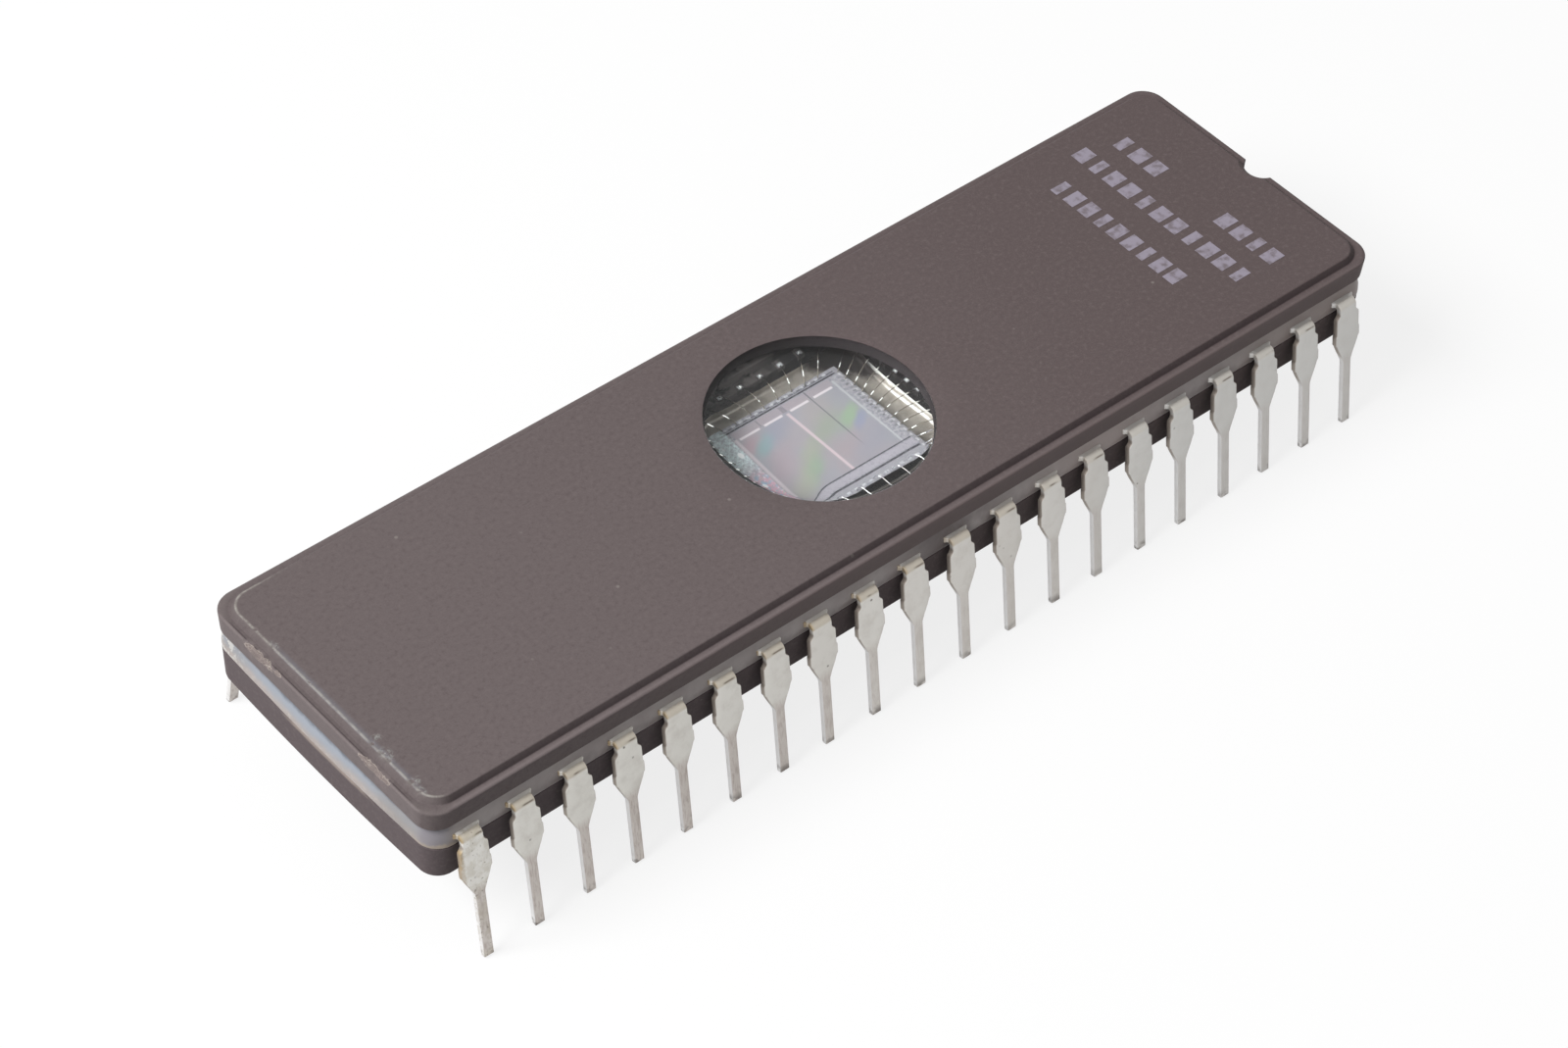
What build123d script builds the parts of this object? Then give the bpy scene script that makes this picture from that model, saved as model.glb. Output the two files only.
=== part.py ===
from build123d import *
import math
import os

# A forty-lead ceramic dual in-line memory chip with a round window over its die.
# Millimetres. The origin is on the surface that the lead tips stand on, midway between the two rows.
# X runs along the body towards the notched end, Y across the rows, Z up.
# The body is a sandwich: a ceramic base, a band of seal glass that holds the leads, and a ceramic lid.

# Lead rows
lead_pitch = 2.54
leads_per_row = 20
lead_thickness = 0.25
pin_width = 0.47
paddle_width = 1.36
neck_width = 1.0
dam_bar_stub = 0.05
shoulder_width = 0.70
lead_splay = 9.2
bend_inner_radius = 0.08
knee_reach = 0.263

# Heights up the leg at which the front outline changes
pin_top = 3.36
shoulder_top = 3.62
taper_top = 4.32
dam_bar_low = 4.38
dam_bar_high = 4.92
neck_low = 5.74
neck_high = 5.94

# Body
end_margin = 1.787
lid_width = 14.514
standoff = 4.10
base_height = 1.75
seal_height = 1.08
lid_side_height = 1.085
step_height = 0.217
step_run = 0.22
ledge_width = 0.33
lid_side_draft = 4.2
lid_corner_radius = 1.1
step_corner_radius = 1.15
base_inset = 0.05
base_draft = 2.3
base_corner_radius = 1.0
base_end_bow = 0.15
seal_bulge_height = 0.30
seal_taper = 10.0
notch_radius = 0.82
notch_depth = 0.72

# Window and the hollow under it
window_diameter = 9.75
lid_recess_depth = 0.25
lid_recess_margin = 0.35
cavity_length = 10.2
cavity_width = 8.5
cavity_depth = 0.33
cavity_corner_radius = 0.5
bond_shelf = 0.45

# Die and what bonds it
die_length = 7.3
die_width = 6.3
die_thickness = 0.60
attach_thickness = 0.05
attach_margin = 0.15

# Lead frame inside the glass
glass_under_leads = 0.355
root_width = 1.26
root_depth = 0.90
root_flare = 0.10
finger_width = 0.40
finger_straight = 0.45
finger_stagger = 0.20
long_side_fingers = 4
long_side_finger_pitch = 1.10
short_side_finger_pitch = 0.70

# Bond wires
wire_diameter = 0.04
wire_loop_height = 0.22
wire_crown_start = 0.25
wire_crown_end = 0.60
wire_sides = 4
pad_inset = 0.15
finger_bond_inset = 0.18
long_side_pad_pitch = 0.75
short_side_pad_pitch = 0.50

# Levels worked out from the sizes above
base_top = standoff + base_height
lid_bottom = base_top + seal_height
rim_level = lid_bottom + lid_side_height
lid_top = rim_level + step_height
cavity_floor = base_top - cavity_depth
die_bottom = cavity_floor + attach_thickness
die_top = die_bottom + die_thickness
frame_bottom = base_top + glass_under_leads
frame_middle = frame_bottom + lead_thickness / 2
frame_top = frame_bottom + lead_thickness
window_bottom = lid_bottom + lid_recess_depth

# Places worked out from the sizes above
lid_length = lead_pitch * (leads_per_row - 1) + 2 * end_margin
lid_side_lean = lid_side_height * math.tan(math.radians(lid_side_draft))
base_length = lid_length - 2 * lid_side_lean + 2 * base_inset
base_width = lid_width - 2 * lid_side_lean + 2 * base_inset
knee_y = lid_width / 2 + knee_reach
root_y = base_width / 2 - root_depth
recess_length = cavity_length + 2 * (bond_shelf + lid_recess_margin)
recess_width = cavity_width + 2 * (bond_shelf + lid_recess_margin)
leads_per_quarter = leads_per_row // 2


def slab(length, width, corner, height, lean=0.0):
    """A rounded rectangle raised from z = 0, leaning in by an angle as it rises or out if negative."""
    return extrude(RectangleRounded(length, width, corner), height, taper=lean)


def bowed_outline(length, width, corner, bow):
    """A rounded rectangle whose two short ends are shallow arcs that stand out in the middle."""
    half_x = length / 2
    half_y = width / 2
    near_side = Line((-half_x + bow, -half_y), (half_x - bow, -half_y))
    right_end = ThreePointArc((half_x - bow, -half_y), (half_x, 0), (half_x - bow, half_y))
    far_side = Line((half_x - bow, half_y), (-half_x + bow, half_y))
    left_end = ThreePointArc((-half_x + bow, half_y), (-half_x, 0), (-half_x + bow, -half_y))
    outline = make_face([near_side, right_end, far_side, left_end])
    return fillet(outline.vertices(), corner)


def make_base():
    """The lower ceramic plate, which narrows downwards, with the die cavity sunk in its top face."""
    outline = bowed_outline(base_length, base_width, base_corner_radius, base_end_bow)
    plate = Pos(0, 0, base_top) * extrude(outline, -base_height, taper=base_draft)
    cavity = slab(cavity_length, cavity_width, cavity_corner_radius, cavity_depth)
    return plate - Pos(0, 0, cavity_floor) * cavity


def make_lid():
    """The upper ceramic plate: drafted side, ledge, sloping step, window hole, recess and end notch."""
    side = Pos(0, 0, rim_level) * slab(
        lid_length, lid_width, lid_corner_radius, -lid_side_height, lid_side_draft)
    step_length = lid_length - 2 * ledge_width
    step_width = lid_width - 2 * ledge_width
    step_slope = math.degrees(math.atan2(step_run, step_height))
    step = Pos(0, 0, rim_level) * slab(
        step_length, step_width, step_corner_radius, step_height, step_slope)
    recess = Pos(0, 0, lid_bottom) * slab(
        recess_length, recess_width, cavity_corner_radius, lid_recess_depth)
    full_height = lid_top - lid_bottom
    window_hole = Pos(0, 0, lid_bottom + full_height / 2) * Cylinder(window_diameter / 2, 2 * full_height)
    notch_centre = lid_length / 2 - notch_depth + notch_radius
    notch = Pos(notch_centre, 0, lid_bottom + full_height / 2) * Cylinder(notch_radius, 2 * full_height)
    return side + step - recess - window_hole - notch


def make_window():
    """The clear disc fused into the lid, flush with its top and with the roof of its recess."""
    height = lid_top - window_bottom
    return Pos(0, 0, window_bottom + height / 2) * Cylinder(window_diameter / 2, height)


def front_outline():
    """Half of the leg seen from the front, from the pin's tip up to the root in the glass."""
    half_pin = pin_width / 2
    half_paddle = paddle_width / 2
    half_tie = half_paddle + dam_bar_stub
    above_root = frame_top + lead_thickness
    right = [
        (half_pin, -lead_thickness),
        (half_pin, pin_top),
        (shoulder_width / 2, shoulder_top),
        (half_paddle - dam_bar_stub / 2, taper_top),
        (half_tie, dam_bar_low),
        (half_tie, dam_bar_high),
        (half_paddle, dam_bar_high + dam_bar_stub),
        (half_paddle, neck_low),
        (neck_width / 2, neck_high),
        (neck_width / 2, above_root),
    ]
    left = [(-x, z) for x, z in reversed(right)]
    return make_face(Polyline(*right, *left, close=True))


def make_outer_lead():
    """The visible part of a lead at x = 0 on the far row: root, bend, paddle and pin."""
    splay = math.radians(lead_splay)
    middle_radius = bend_inner_radius + lead_thickness / 2
    leg_length = (frame_middle - lead_thickness / 2 * math.sin(splay)) / math.cos(splay)
    knee = Vector(knee_y, frame_middle)
    tip = knee + Vector(math.sin(splay), -math.cos(splay)) * leg_length
    bend_start = knee_y - middle_radius * math.tan(math.pi / 4 - splay / 2)
    path = FilletPolyline((root_y, frame_middle), knee, tip, radius=middle_radius)
    strip = extrude(Plane.YZ * trace(path, lead_thickness), paddle_width, both=True)
    leg = strip & extrude(Plane.XZ * front_outline(), lid_width, both=True)
    root = make_face(Polyline(
        (-root_width / 2, root_y), (root_width / 2, root_y), (root_width / 2, bend_start - root_flare),
        (neck_width / 2, bend_start), (-neck_width / 2, bend_start),
        (-root_width / 2, bend_start - root_flare), close=True))
    return leg + Pos(0, 0, frame_bottom) * extrude(root, lead_thickness)


def finger_places():
    """For each lead of one quarter, from the middle outwards: its finger tip, the way out from the
    cavity there, and the length of the straight end, which is shortest at the cavity's corner."""
    places = []
    for i in range(long_side_fingers):
        x = (i + 0.5) * long_side_finger_pitch
        straight = finger_straight + (long_side_fingers - 1 - i) * finger_stagger
        places.append((Vector(x, cavity_width / 2), Vector(0, 1), straight))
    rest = leads_per_quarter - long_side_fingers
    for i in range(rest):
        y = (rest - i - 0.5) * short_side_finger_pitch
        straight = finger_straight + i * finger_stagger
        places.append((Vector(cavity_length / 2, y), Vector(1, 0), straight))
    return places


def finger_outline(root_x, tip, outward, straight):
    """The flat inner part of a lead: from the root, aslant to the cavity, then straight to the tip."""
    root = Vector(root_x, root_y)
    turn = tip + outward * straight
    slant = (turn - root).normalized()
    arrival = outward * -1
    mitre = (slant + arrival).normalized()
    mitre_normal = Vector(-mitre.Y, mitre.X)
    half_turn = slant.get_angle(arrival) / 2
    reach = finger_width / 2 / math.cos(math.radians(half_turn))
    tip_normal = Vector(-arrival.Y, arrival.X) * (finger_width / 2)
    half_root = Vector(root_width / 2, 0)
    points = [
        root - half_root, turn - mitre_normal * reach, tip - tip_normal,
        tip + tip_normal, turn + mitre_normal * reach, root + half_root]
    return make_face(Polyline(*points, close=True))


def make_lead_quarter():
    """The ten leads of the quarter with positive x and y, from the middle outwards."""
    outer = make_outer_lead()
    leads = []
    for i, (tip, outward, straight) in enumerate(finger_places()):
        x = (i + 0.5) * lead_pitch
        outline = finger_outline(x, tip, outward, straight)
        finger = Pos(0, 0, frame_bottom) * extrude(outline, lead_thickness)
        leads.append(Pos(x, 0, 0) * outer + finger)
    return leads


def make_wire(pad, finger_end):
    """One bond wire: up from the die's edge, across, and down to a lead finger."""
    start = Vector(pad.X, pad.Y, die_top + wire_diameter)
    end = Vector(finger_end.X, finger_end.Y, frame_top + wire_diameter)
    lift = Vector(0, 0, wire_loop_height)
    crown_start = start + (end - start) * wire_crown_start + lift
    crown_end = start + (end - start) * wire_crown_end + lift
    path = Polyline(start, crown_start, crown_end, end)
    section = Plane(origin=start, z_dir=path % 0) * RegularPolygon(wire_diameter / 2, wire_sides)
    return sweep(section, path=path, transition=Transition.RIGHT)


def make_wire_quarter():
    """The wires of the quarter with positive x and y: those of the long side, then of the short side."""
    long_side = []
    short_side = []
    for i, (tip, outward, _) in enumerate(finger_places()):
        finger_end = tip + outward * finger_bond_inset
        if i < long_side_fingers:
            pad = Vector((i + 0.5) * long_side_pad_pitch, die_width / 2 - pad_inset)
            long_side.append(make_wire(pad, finger_end))
        else:
            y = (leads_per_quarter - i - 0.5) * short_side_pad_pitch
            pad = Vector(die_length / 2 - pad_inset, y)
            short_side.append(make_wire(pad, finger_end))
    return long_side, short_side


def make_die():
    """The silicon die, flat on its bonding layer."""
    return Pos(0, 0, die_bottom + die_thickness / 2) * Box(die_length, die_width, die_thickness)


def make_attach():
    """The bonding layer, squeezed out a little past the die."""
    layer = slab(die_length + 2 * attach_margin, die_width + 2 * attach_margin,
                 cavity_corner_radius / 2, attach_thickness)
    return Pos(0, 0, cavity_floor) * layer


def make_seal(leads):
    """The fused glass band: it bulges below, draws in under the lid and wraps every lead."""
    outline = bowed_outline(base_length, base_width, base_corner_radius, base_end_bow)
    lower = extrude(outline, seal_bulge_height)
    upper = Pos(0, 0, seal_bulge_height) * extrude(
        outline, seal_height - seal_bulge_height, taper=seal_taper)
    band = Pos(0, 0, base_top) * (lower + upper)
    opening = slab(cavity_length, cavity_width, cavity_corner_radius, seal_height)
    shelf_opening = slab(cavity_length + 2 * bond_shelf, cavity_width + 2 * bond_shelf,
                         cavity_corner_radius, seal_height)
    band -= Pos(0, 0, base_top) * opening
    band -= Pos(0, 0, frame_top) * shelf_opening
    return band - leads


def mirrored(shape, flip_x, flip_y):
    """A copy of a shape in another quarter."""
    if flip_x:
        shape = mirror(shape, Plane.YZ)
    if flip_y:
        shape = mirror(shape, Plane.XZ)
    return shape


def write(shape, node):
    """Save one node as its own file, under the node's name."""
    shape.label = node
    export_step(shape, "parts/" + node + ".step")


def lead_number(column, far):
    """Count from the notched end along the far row, then back along the near row."""
    if far:
        return leads_per_row - column
    return leads_per_row + 1 + column


def build():
    os.makedirs("parts", exist_ok=True)
    quarter = make_lead_quarter()
    leads = {}
    for far in (True, False):
        for right in (True, False):
            for i, lead in enumerate(quarter):
                column = leads_per_quarter + i if right else leads_per_quarter - 1 - i
                leads[lead_number(column, far)] = mirrored(lead, not right, not far)
    for number, lead in sorted(leads.items()):
        write(lead, f"lead_{number:02d}")
    write(make_base(), "ceramic_base")
    write(make_seal(list(leads.values())), "seal_glass")
    write(make_lid(), "ceramic_lid")
    write(make_window(), "uv_window")
    write(make_attach(), "die_attach")
    write(make_die(), "die")
    long_side, short_side = make_wire_quarter()
    far_wires = [mirrored(w, flip, False) for flip in (False, True) for w in long_side]
    right_wires = [mirrored(w, False, flip) for flip in (False, True) for w in short_side]
    write(Compound(children=far_wires), "bond_wires_far")
    write(Compound(children=[mirrored(w, False, True) for w in far_wires]), "bond_wires_near")
    write(Compound(children=right_wires), "bond_wires_right")
    write(Compound(children=[mirrored(w, True, False) for w in right_wires]), "bond_wires_left")


build()
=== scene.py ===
# %% [markdown]
# # A memory chip with a window
#
# A ceramic dual in-line package is a sandwich: a ceramic base, a band of seal glass that holds the
# lead frame, and a ceramic lid with a round window. Ultraviolet light shone through the window wipes
# the chip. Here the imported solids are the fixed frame, and each piece is dressed for a close look.

import math

import bpy
import numpy as np
from mathutils import Matrix, Vector, noise


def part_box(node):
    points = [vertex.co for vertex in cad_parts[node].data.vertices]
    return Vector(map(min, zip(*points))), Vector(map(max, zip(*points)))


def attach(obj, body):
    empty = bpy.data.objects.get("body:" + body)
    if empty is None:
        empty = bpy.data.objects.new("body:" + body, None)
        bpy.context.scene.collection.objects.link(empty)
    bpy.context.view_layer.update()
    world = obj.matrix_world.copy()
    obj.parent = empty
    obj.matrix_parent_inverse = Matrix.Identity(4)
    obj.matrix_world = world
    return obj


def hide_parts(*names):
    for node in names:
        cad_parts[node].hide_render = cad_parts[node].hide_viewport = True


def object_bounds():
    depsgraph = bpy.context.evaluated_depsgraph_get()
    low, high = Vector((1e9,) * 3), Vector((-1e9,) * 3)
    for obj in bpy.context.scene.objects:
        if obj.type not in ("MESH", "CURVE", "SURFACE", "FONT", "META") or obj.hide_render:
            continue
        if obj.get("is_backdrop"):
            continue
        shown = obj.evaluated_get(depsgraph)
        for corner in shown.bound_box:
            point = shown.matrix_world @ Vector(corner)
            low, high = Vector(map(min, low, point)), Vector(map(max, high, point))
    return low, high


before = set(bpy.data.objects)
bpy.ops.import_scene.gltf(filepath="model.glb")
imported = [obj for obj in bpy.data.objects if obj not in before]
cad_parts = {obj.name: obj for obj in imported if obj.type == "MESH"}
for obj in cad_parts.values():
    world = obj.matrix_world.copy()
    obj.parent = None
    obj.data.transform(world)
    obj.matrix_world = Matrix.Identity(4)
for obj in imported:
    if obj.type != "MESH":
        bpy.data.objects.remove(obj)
cad_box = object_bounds()
MM = 0.001
print("nodes", len(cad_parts), "box", cad_box)

# %% [markdown]
# ## Sums on sockets
#
# Node trees are easier to read as sums. `Link` wraps one output socket, and plus, minus and times on
# it add Math nodes. `Graph` makes every other node with one method, in shader and geometry trees
# alike: first the node's settings, then the values or links of its inputs.

# %% A small language for node trees
class Link:
    def __init__(self, graph, socket):
        self.graph = graph
        self.socket = socket

    def __getitem__(self, name):
        return Link(self.graph, self.socket.node.outputs[name])

    def math(self, operation, *others):
        return self.graph.math(operation, self, *others)

    def __add__(self, other):
        return self.math("ADD", other)

    def __radd__(self, other):
        return self.graph.math("ADD", other, self)

    def __sub__(self, other):
        return self.math("SUBTRACT", other)

    def __rsub__(self, other):
        return self.graph.math("SUBTRACT", other, self)

    def __mul__(self, other):
        return self.math("MULTIPLY", other)

    def __rmul__(self, other):
        return self.graph.math("MULTIPLY", other, self)

    def __truediv__(self, other):
        return self.math("DIVIDE", other)

    def __abs__(self):
        return self.math("ABSOLUTE")

    def __lt__(self, other):
        return self.math("LESS_THAN", other)

    def least(self, other):
        return self.math("MINIMUM", other)

    def most(self, other):
        return self.math("MAXIMUM", other)

    def ramp(self, low, high):
        """0 below low, 1 above high, and a soft step between; low may be the larger one."""
        if low > high:
            return 1.0 - self.ramp(high, low)
        return self.graph.add("ShaderNodeMapRange", {"interpolation_type": "SMOOTHSTEP"},
                              {"Value": self, "From Min": low, "From Max": high})

    def band(self, middle, half_width, edge):
        """1 within half_width of the middle, 0 beyond, with soft edges."""
        return abs(self - middle).ramp(half_width + edge, half_width - edge)


class Graph:
    def __init__(self, tree):
        self.tree = tree

    def add(self, kind, settings=None, values=None, output=None):
        node = self.tree.nodes.new(kind)
        for name, value in (settings or {}).items():
            if name == "stops":
                while len(node.color_ramp.elements) < len(value):
                    node.color_ramp.elements.new(0.5)
                for element, (place, tint) in zip(node.color_ramp.elements, value):
                    element.position = place
                    element.color = tint
            else:
                setattr(node, name, value)
        for name, value in (values or {}).items():
            if isinstance(value, Link):
                self.tree.links.new(value.socket, node.inputs[name])
            else:
                node.inputs[name].default_value = value
        outputs = [s for s in node.outputs if s.enabled]
        return Link(self, node.outputs[output] if output is not None else outputs[0]) if outputs else node

    def math(self, operation, *terms):
        return self.add("ShaderNodeMath", {"operation": operation}, dict(enumerate(terms)))

    def blend(self, first, second, share):
        """A colour between two colours, each a link or red, green and blue from 0 to 255."""
        first, second = (c if isinstance(c, Link) else shade(*c) for c in (first, second))
        return self.add("ShaderNodeMix", {"data_type": "RGBA"}, {0: share, 6: first, 7: second}, output=2)


def shade(red, green, blue):
    """A colour as a screen shows it, 0 to 255, in the linear values that shaders take."""
    linear = [c / 12.92 if c <= 0.04045 else ((c + 0.055) / 1.055) ** 2.4
              for c in (red / 255, green / 255, blue / 255)]
    return (*linear, 1.0)


# %% [markdown]
# ## A finish reads the object's own millimetres
#
# Every pattern below is placed in millimetres on the object, so it stays put when the camera moves. A
# `Finish` is one material: a graph with a Principled shader, the place on the object, and a few
# noises that most finishes share.

# %% One material at a time
class Finish(Graph):
    def __init__(self, name):
        self.material = bpy.data.materials.new(name)
        self.material.use_nodes = True
        super().__init__(self.material.node_tree)
        self.tree.nodes.clear()
        self.shader = self.add("ShaderNodeBsdfPrincipled")
        self.end = self.add("ShaderNodeOutputMaterial", values={"Surface": self.shader})
        place = self.add("ShaderNodeTexCoord")["Object"]
        self.place = self.add("ShaderNodeVectorMath", {"operation": "SCALE"}, {0: place, "Scale": 1 / MM})
        self.x = self.add("ShaderNodeSeparateXYZ", values={0: self.place})
        self.y = self.x["Y"]
        self.z = self.x["Z"]

    def grain(self, scale, detail=2.0, rough=0.5, stretch=(1.0, 1.0, 1.0), shift=(0.0, 0.0, 0.0)):
        """A noise of so many grains to the millimetre, from 0 to 1."""
        at = self.add("ShaderNodeMapping", values={"Vector": self.place, "Scale": stretch, "Location": shift})
        return self.add("ShaderNodeTexNoise", values={
            "Vector": at, "Scale": scale, "Detail": detail, "Roughness": rough})

    def cells(self, scale, feature="F1", stretch=(1.0, 1.0, 1.0)):
        at = self.add("ShaderNodeMapping", values={"Vector": self.place, "Scale": stretch})
        return self.add("ShaderNodeTexVoronoi", {"feature": feature}, {"Vector": at, "Scale": scale})

    def attribute(self, name):
        return self.add("ShaderNodeAttribute", {"attribute_name": name}, output="Fac")

    def set(self, **values):
        """Sockets of the shader by name, with underscores for spaces."""
        for name, value in values.items():
            socket = self.shader.socket.node.inputs[name.replace("_", " ")]
            if isinstance(value, Link):
                self.tree.links.new(value.socket, socket)
            else:
                socket.default_value = value
        return self

    def over(self, tint, share=1.0):
        """Lays a colour over the finish so far, by a share from 0 to 1."""
        self.tone = self.blend(self.tone, tint, share)

    def bump(self, height, depth, strength=1.0):
        """Depth in millimetres for a height from 0 to 1."""
        normal = self.add("ShaderNodeBump", values={
            "Height": height, "Distance": depth * MM, "Strength": strength})
        return self.set(Normal=normal)


# %% [markdown]
# ## Sizes taken from the frame
#
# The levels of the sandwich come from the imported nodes' own boxes, so this script follows the solids
# if they change. Only what the boxes can't tell, such as an edge's rounding, is written here.

# %% Levels and widths in millimetres
def span(node):
    low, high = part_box(node)
    return np.array(low) / MM, np.array(high) / MM


lid_low, lid_high = span("ceramic_lid")
base_low, base_high = span("ceramic_base")
pane_low, pane_high = span("uv_window")
die_low, die_high = span("die")
paste_low, _ = span("die_attach")
_, far_lead_high = span("lead_01")

LID_HALF = lid_high[:2]
BASE_HALF = base_high[:2]
LID_BOTTOM, LID_TOP = lid_low[2], lid_high[2]
BASE_BOTTOM, BASE_TOP = base_low[2], base_high[2]
PANE_BOTTOM, PANE_RADIUS = pane_low[2], pane_high[0]
DIE_TOP, CAVITY_FLOOR = die_high[2], paste_low[2]
FRAME_TOP = far_lead_high[2]
LEAD_THICK = 0.25
FRAME_BOTTOM = FRAME_TOP - LEAD_THICK
RIM = LID_TOP - 0.217
LEDGE, STEP_RUN, SIDE_LEAN = 0.33, 0.22, 0.0797
CAVITY_HALF = np.array((5.10, 4.25))
SHELF_HALF = CAVITY_HALF + 0.45
RECESS_HALF = SHELF_HALF + 0.35
INK = 0.010
LID_CORNER, BASE_CORNER, TRAY_CORNER, BASE_BOW = 1.1, 1.0, 0.5, 0.15
print("lid", LID_HALF, LID_BOTTOM, LID_TOP, "frame top", FRAME_TOP, "die top", DIE_TOP)

# %% [markdown]
# ## Rings
#
# The lid, the base and the glass band are all the same kind of shape: an outline that changes a
# little from level to level. So one function gives the outline at any size, always with the same
# number of points, and the solid is the skin between such rings. It could be done with bevels on a
# box, but rings give even rounding, and dense points where the worn end needs them.

# %% One outline for every level
END_STEPS, CORNER_STEPS, SIDE_STEPS, NOTCH_STEPS, BESIDE_NOTCH_STEPS = 84, 12, 110, 14, 26
NOTCH_MIDDLE, NOTCH_RADIUS, NOTCH_TOP_RADIUS = LID_HALF[0] + 0.20, 0.82, 1.07


def outline(half, corner, bow=0.0, notch=0.0):
    """Points anticlockwise from the middle of the notched end. The ends may bow out in the middle.
    The notch is given by its radius."""
    half_x, half_y = half
    corner = max(corner, 0.02)
    flat_y = half_y - corner
    end_x = lambda y: half_x - bow * (y / half_y) ** 2
    corner_x = end_x(flat_y) - corner
    turn = math.acos(min(1.0, (NOTCH_MIDDLE - half_x) / notch)) if notch else 0.0
    steps = np.arange(NOTCH_STEPS) / NOTCH_STEPS
    if turn > 0.3:
        lip = notch * math.sin(turn)
        points = [(NOTCH_MIDDLE - notch * math.cos(t * turn), notch * math.sin(t * turn)) for t in steps]
    else:
        lip = 0.3 * half_y / 7
        points = [(end_x(t * lip), t * lip) for t in steps]
    points += [(end_x(y), y) for y in np.linspace(lip, flat_y, BESIDE_NOTCH_STEPS, endpoint=False)]
    points += [(corner_x + corner * math.cos(a), flat_y + corner * math.sin(a))
               for a in np.linspace(0, math.pi / 2, CORNER_STEPS, endpoint=False)]
    points += [(x, half_y) for x in np.linspace(corner_x, -corner_x, SIDE_STEPS, endpoint=False)]
    points += [(-corner_x + corner * math.cos(a), flat_y + corner * math.sin(a))
               for a in np.linspace(math.pi / 2, math.pi, CORNER_STEPS, endpoint=False)]
    points += [(-end_x(y), y) for y in np.linspace(flat_y, 0, END_STEPS)]
    points = np.array(points)
    mirrored = points[1:-1][::-1] * (1, -1)
    return np.vstack((points, mirrored))


def circle(radius):
    """As many points as an outline, in step with its ends and sides."""
    first_corner = NOTCH_STEPS + BESIDE_NOTCH_STEPS + CORNER_STEPS / 2
    second_corner = first_corner + CORNER_STEPS + SIDE_STEPS
    last = NOTCH_STEPS + BESIDE_NOTCH_STEPS + 2 * CORNER_STEPS + SIDE_STEPS + END_STEPS - 1
    turn = np.radians(np.interp(np.arange(last + 1), [0, first_corner, second_corner, last], [0, 45, 135, 180]))
    half = np.column_stack((np.cos(turn), np.sin(turn))) * radius
    return np.vstack((half, half[1:-1][::-1] * (1, -1)))


RING = len(circle(1))
print("points in a ring", RING)


# %% Rounded profiles and the skin between rings
def rounded(corners, steps=5, support=0.03):
    """A path of (inset, height) through corners, each (inset, height, radius) rounded by an arc."""
    path = []
    for i, (inset, height, radius) in enumerate(corners):
        here = np.array((inset, height))
        if i in (0, len(corners) - 1) or radius == 0:
            path.append(here)
            continue
        before = np.array(corners[i - 1][:2]) - here
        after = np.array(corners[i + 1][:2]) - here
        before, reach_b = before / np.linalg.norm(before), np.linalg.norm(before)
        after, reach_a = after / np.linalg.norm(after), np.linalg.norm(after)
        half_turn = math.acos(np.clip(before @ after, -1, 1)) / 2
        cut = min(radius / math.tan(half_turn), 0.45 * reach_b, 0.45 * reach_a)
        radius = cut * math.tan(half_turn)
        middle = here + (before + after) / np.linalg.norm(before + after) * radius / math.sin(half_turn)
        first, last = here + before * cut - middle, here + after * cut - middle
        path.append(middle + first + before * min(support, 0.3 * cut))
        for t in np.linspace(0, 1, steps):
            spoke = first * (1 - t) + last * t
            path.append(middle + spoke / np.linalg.norm(spoke) * radius)
        path.append(middle + last + after * min(support, 0.3 * cut))
    return path


def at_level(points, height):
    return np.column_stack((points, np.full(len(points), height)))


def skin(name, rings, closed=True, poles=(None, None)):
    """A mesh through the rings, in millimetres: a closed loop of rings, or one shut by two poles."""
    rings = np.array(rings)
    count, size = rings.shape[:2]
    verts = list(rings.reshape(-1, 3))
    faces = []
    for j in range(count if closed else count - 1):
        low, high = j * size, (j + 1) % count * size
        for i in range(size):
            k = (i + 1) % size
            faces.append((low + i, low + k, high + k, high + i))
    if not closed:
        for pole, ring, forward in ((poles[0], 0, False), (poles[1], count - 1, True)):
            verts.append(np.array(pole, float))
            tip, start = len(verts) - 1, ring * size
            for i in range(size):
                k = (i + 1) % size
                faces.append((start + i, start + k, tip) if forward else (start + k, start + i, tip))
    return finish_mesh(name, np.array(verts), faces)


def stand(name, data):
    """Puts an object into the scene, unturned at the origin."""
    piece = bpy.data.objects.new(name, data)
    bpy.context.scene.collection.objects.link(piece)
    return piece


def evaluated(piece):
    """A plain mesh of the piece with its modifiers applied."""
    bpy.context.view_layer.update()
    return bpy.data.meshes.new_from_object(piece.evaluated_get(bpy.context.evaluated_depsgraph_get()))


def points_of(piece):
    return np.array([v.co for v in piece.data.vertices]) / MM


def move_points(piece, points):
    piece.data.vertices.foreach_set("co", (points * MM).ravel())
    piece.data.update()


def finish_mesh(name, verts, faces, smooth_under=38):
    mesh = bpy.data.meshes.new(name)
    mesh.from_pydata((verts * MM).tolist(), [], faces)
    mesh.validate()
    mesh.shade_smooth()
    mesh.set_sharp_from_angle(angle=math.radians(smooth_under))
    return stand(name, mesh)


def volume(piece):
    """In cubic millimetres; it is negative if the faces point inwards."""
    mesh = piece.data
    mesh.calc_loop_triangles()
    tri = points_of(piece)[np.array([t.vertices for t in mesh.loop_triangles])]
    return float(np.einsum("ij,ij->i", tri[:, 0], np.cross(tri[:, 1], tri[:, 2])).sum() / 6)


def tell(piece):
    triangles = sum(len(p.vertices) - 2 for p in piece.data.polygons)
    print(f"{piece.name}: {triangles} triangles, {volume(piece):.3f} cubic mm")


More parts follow.
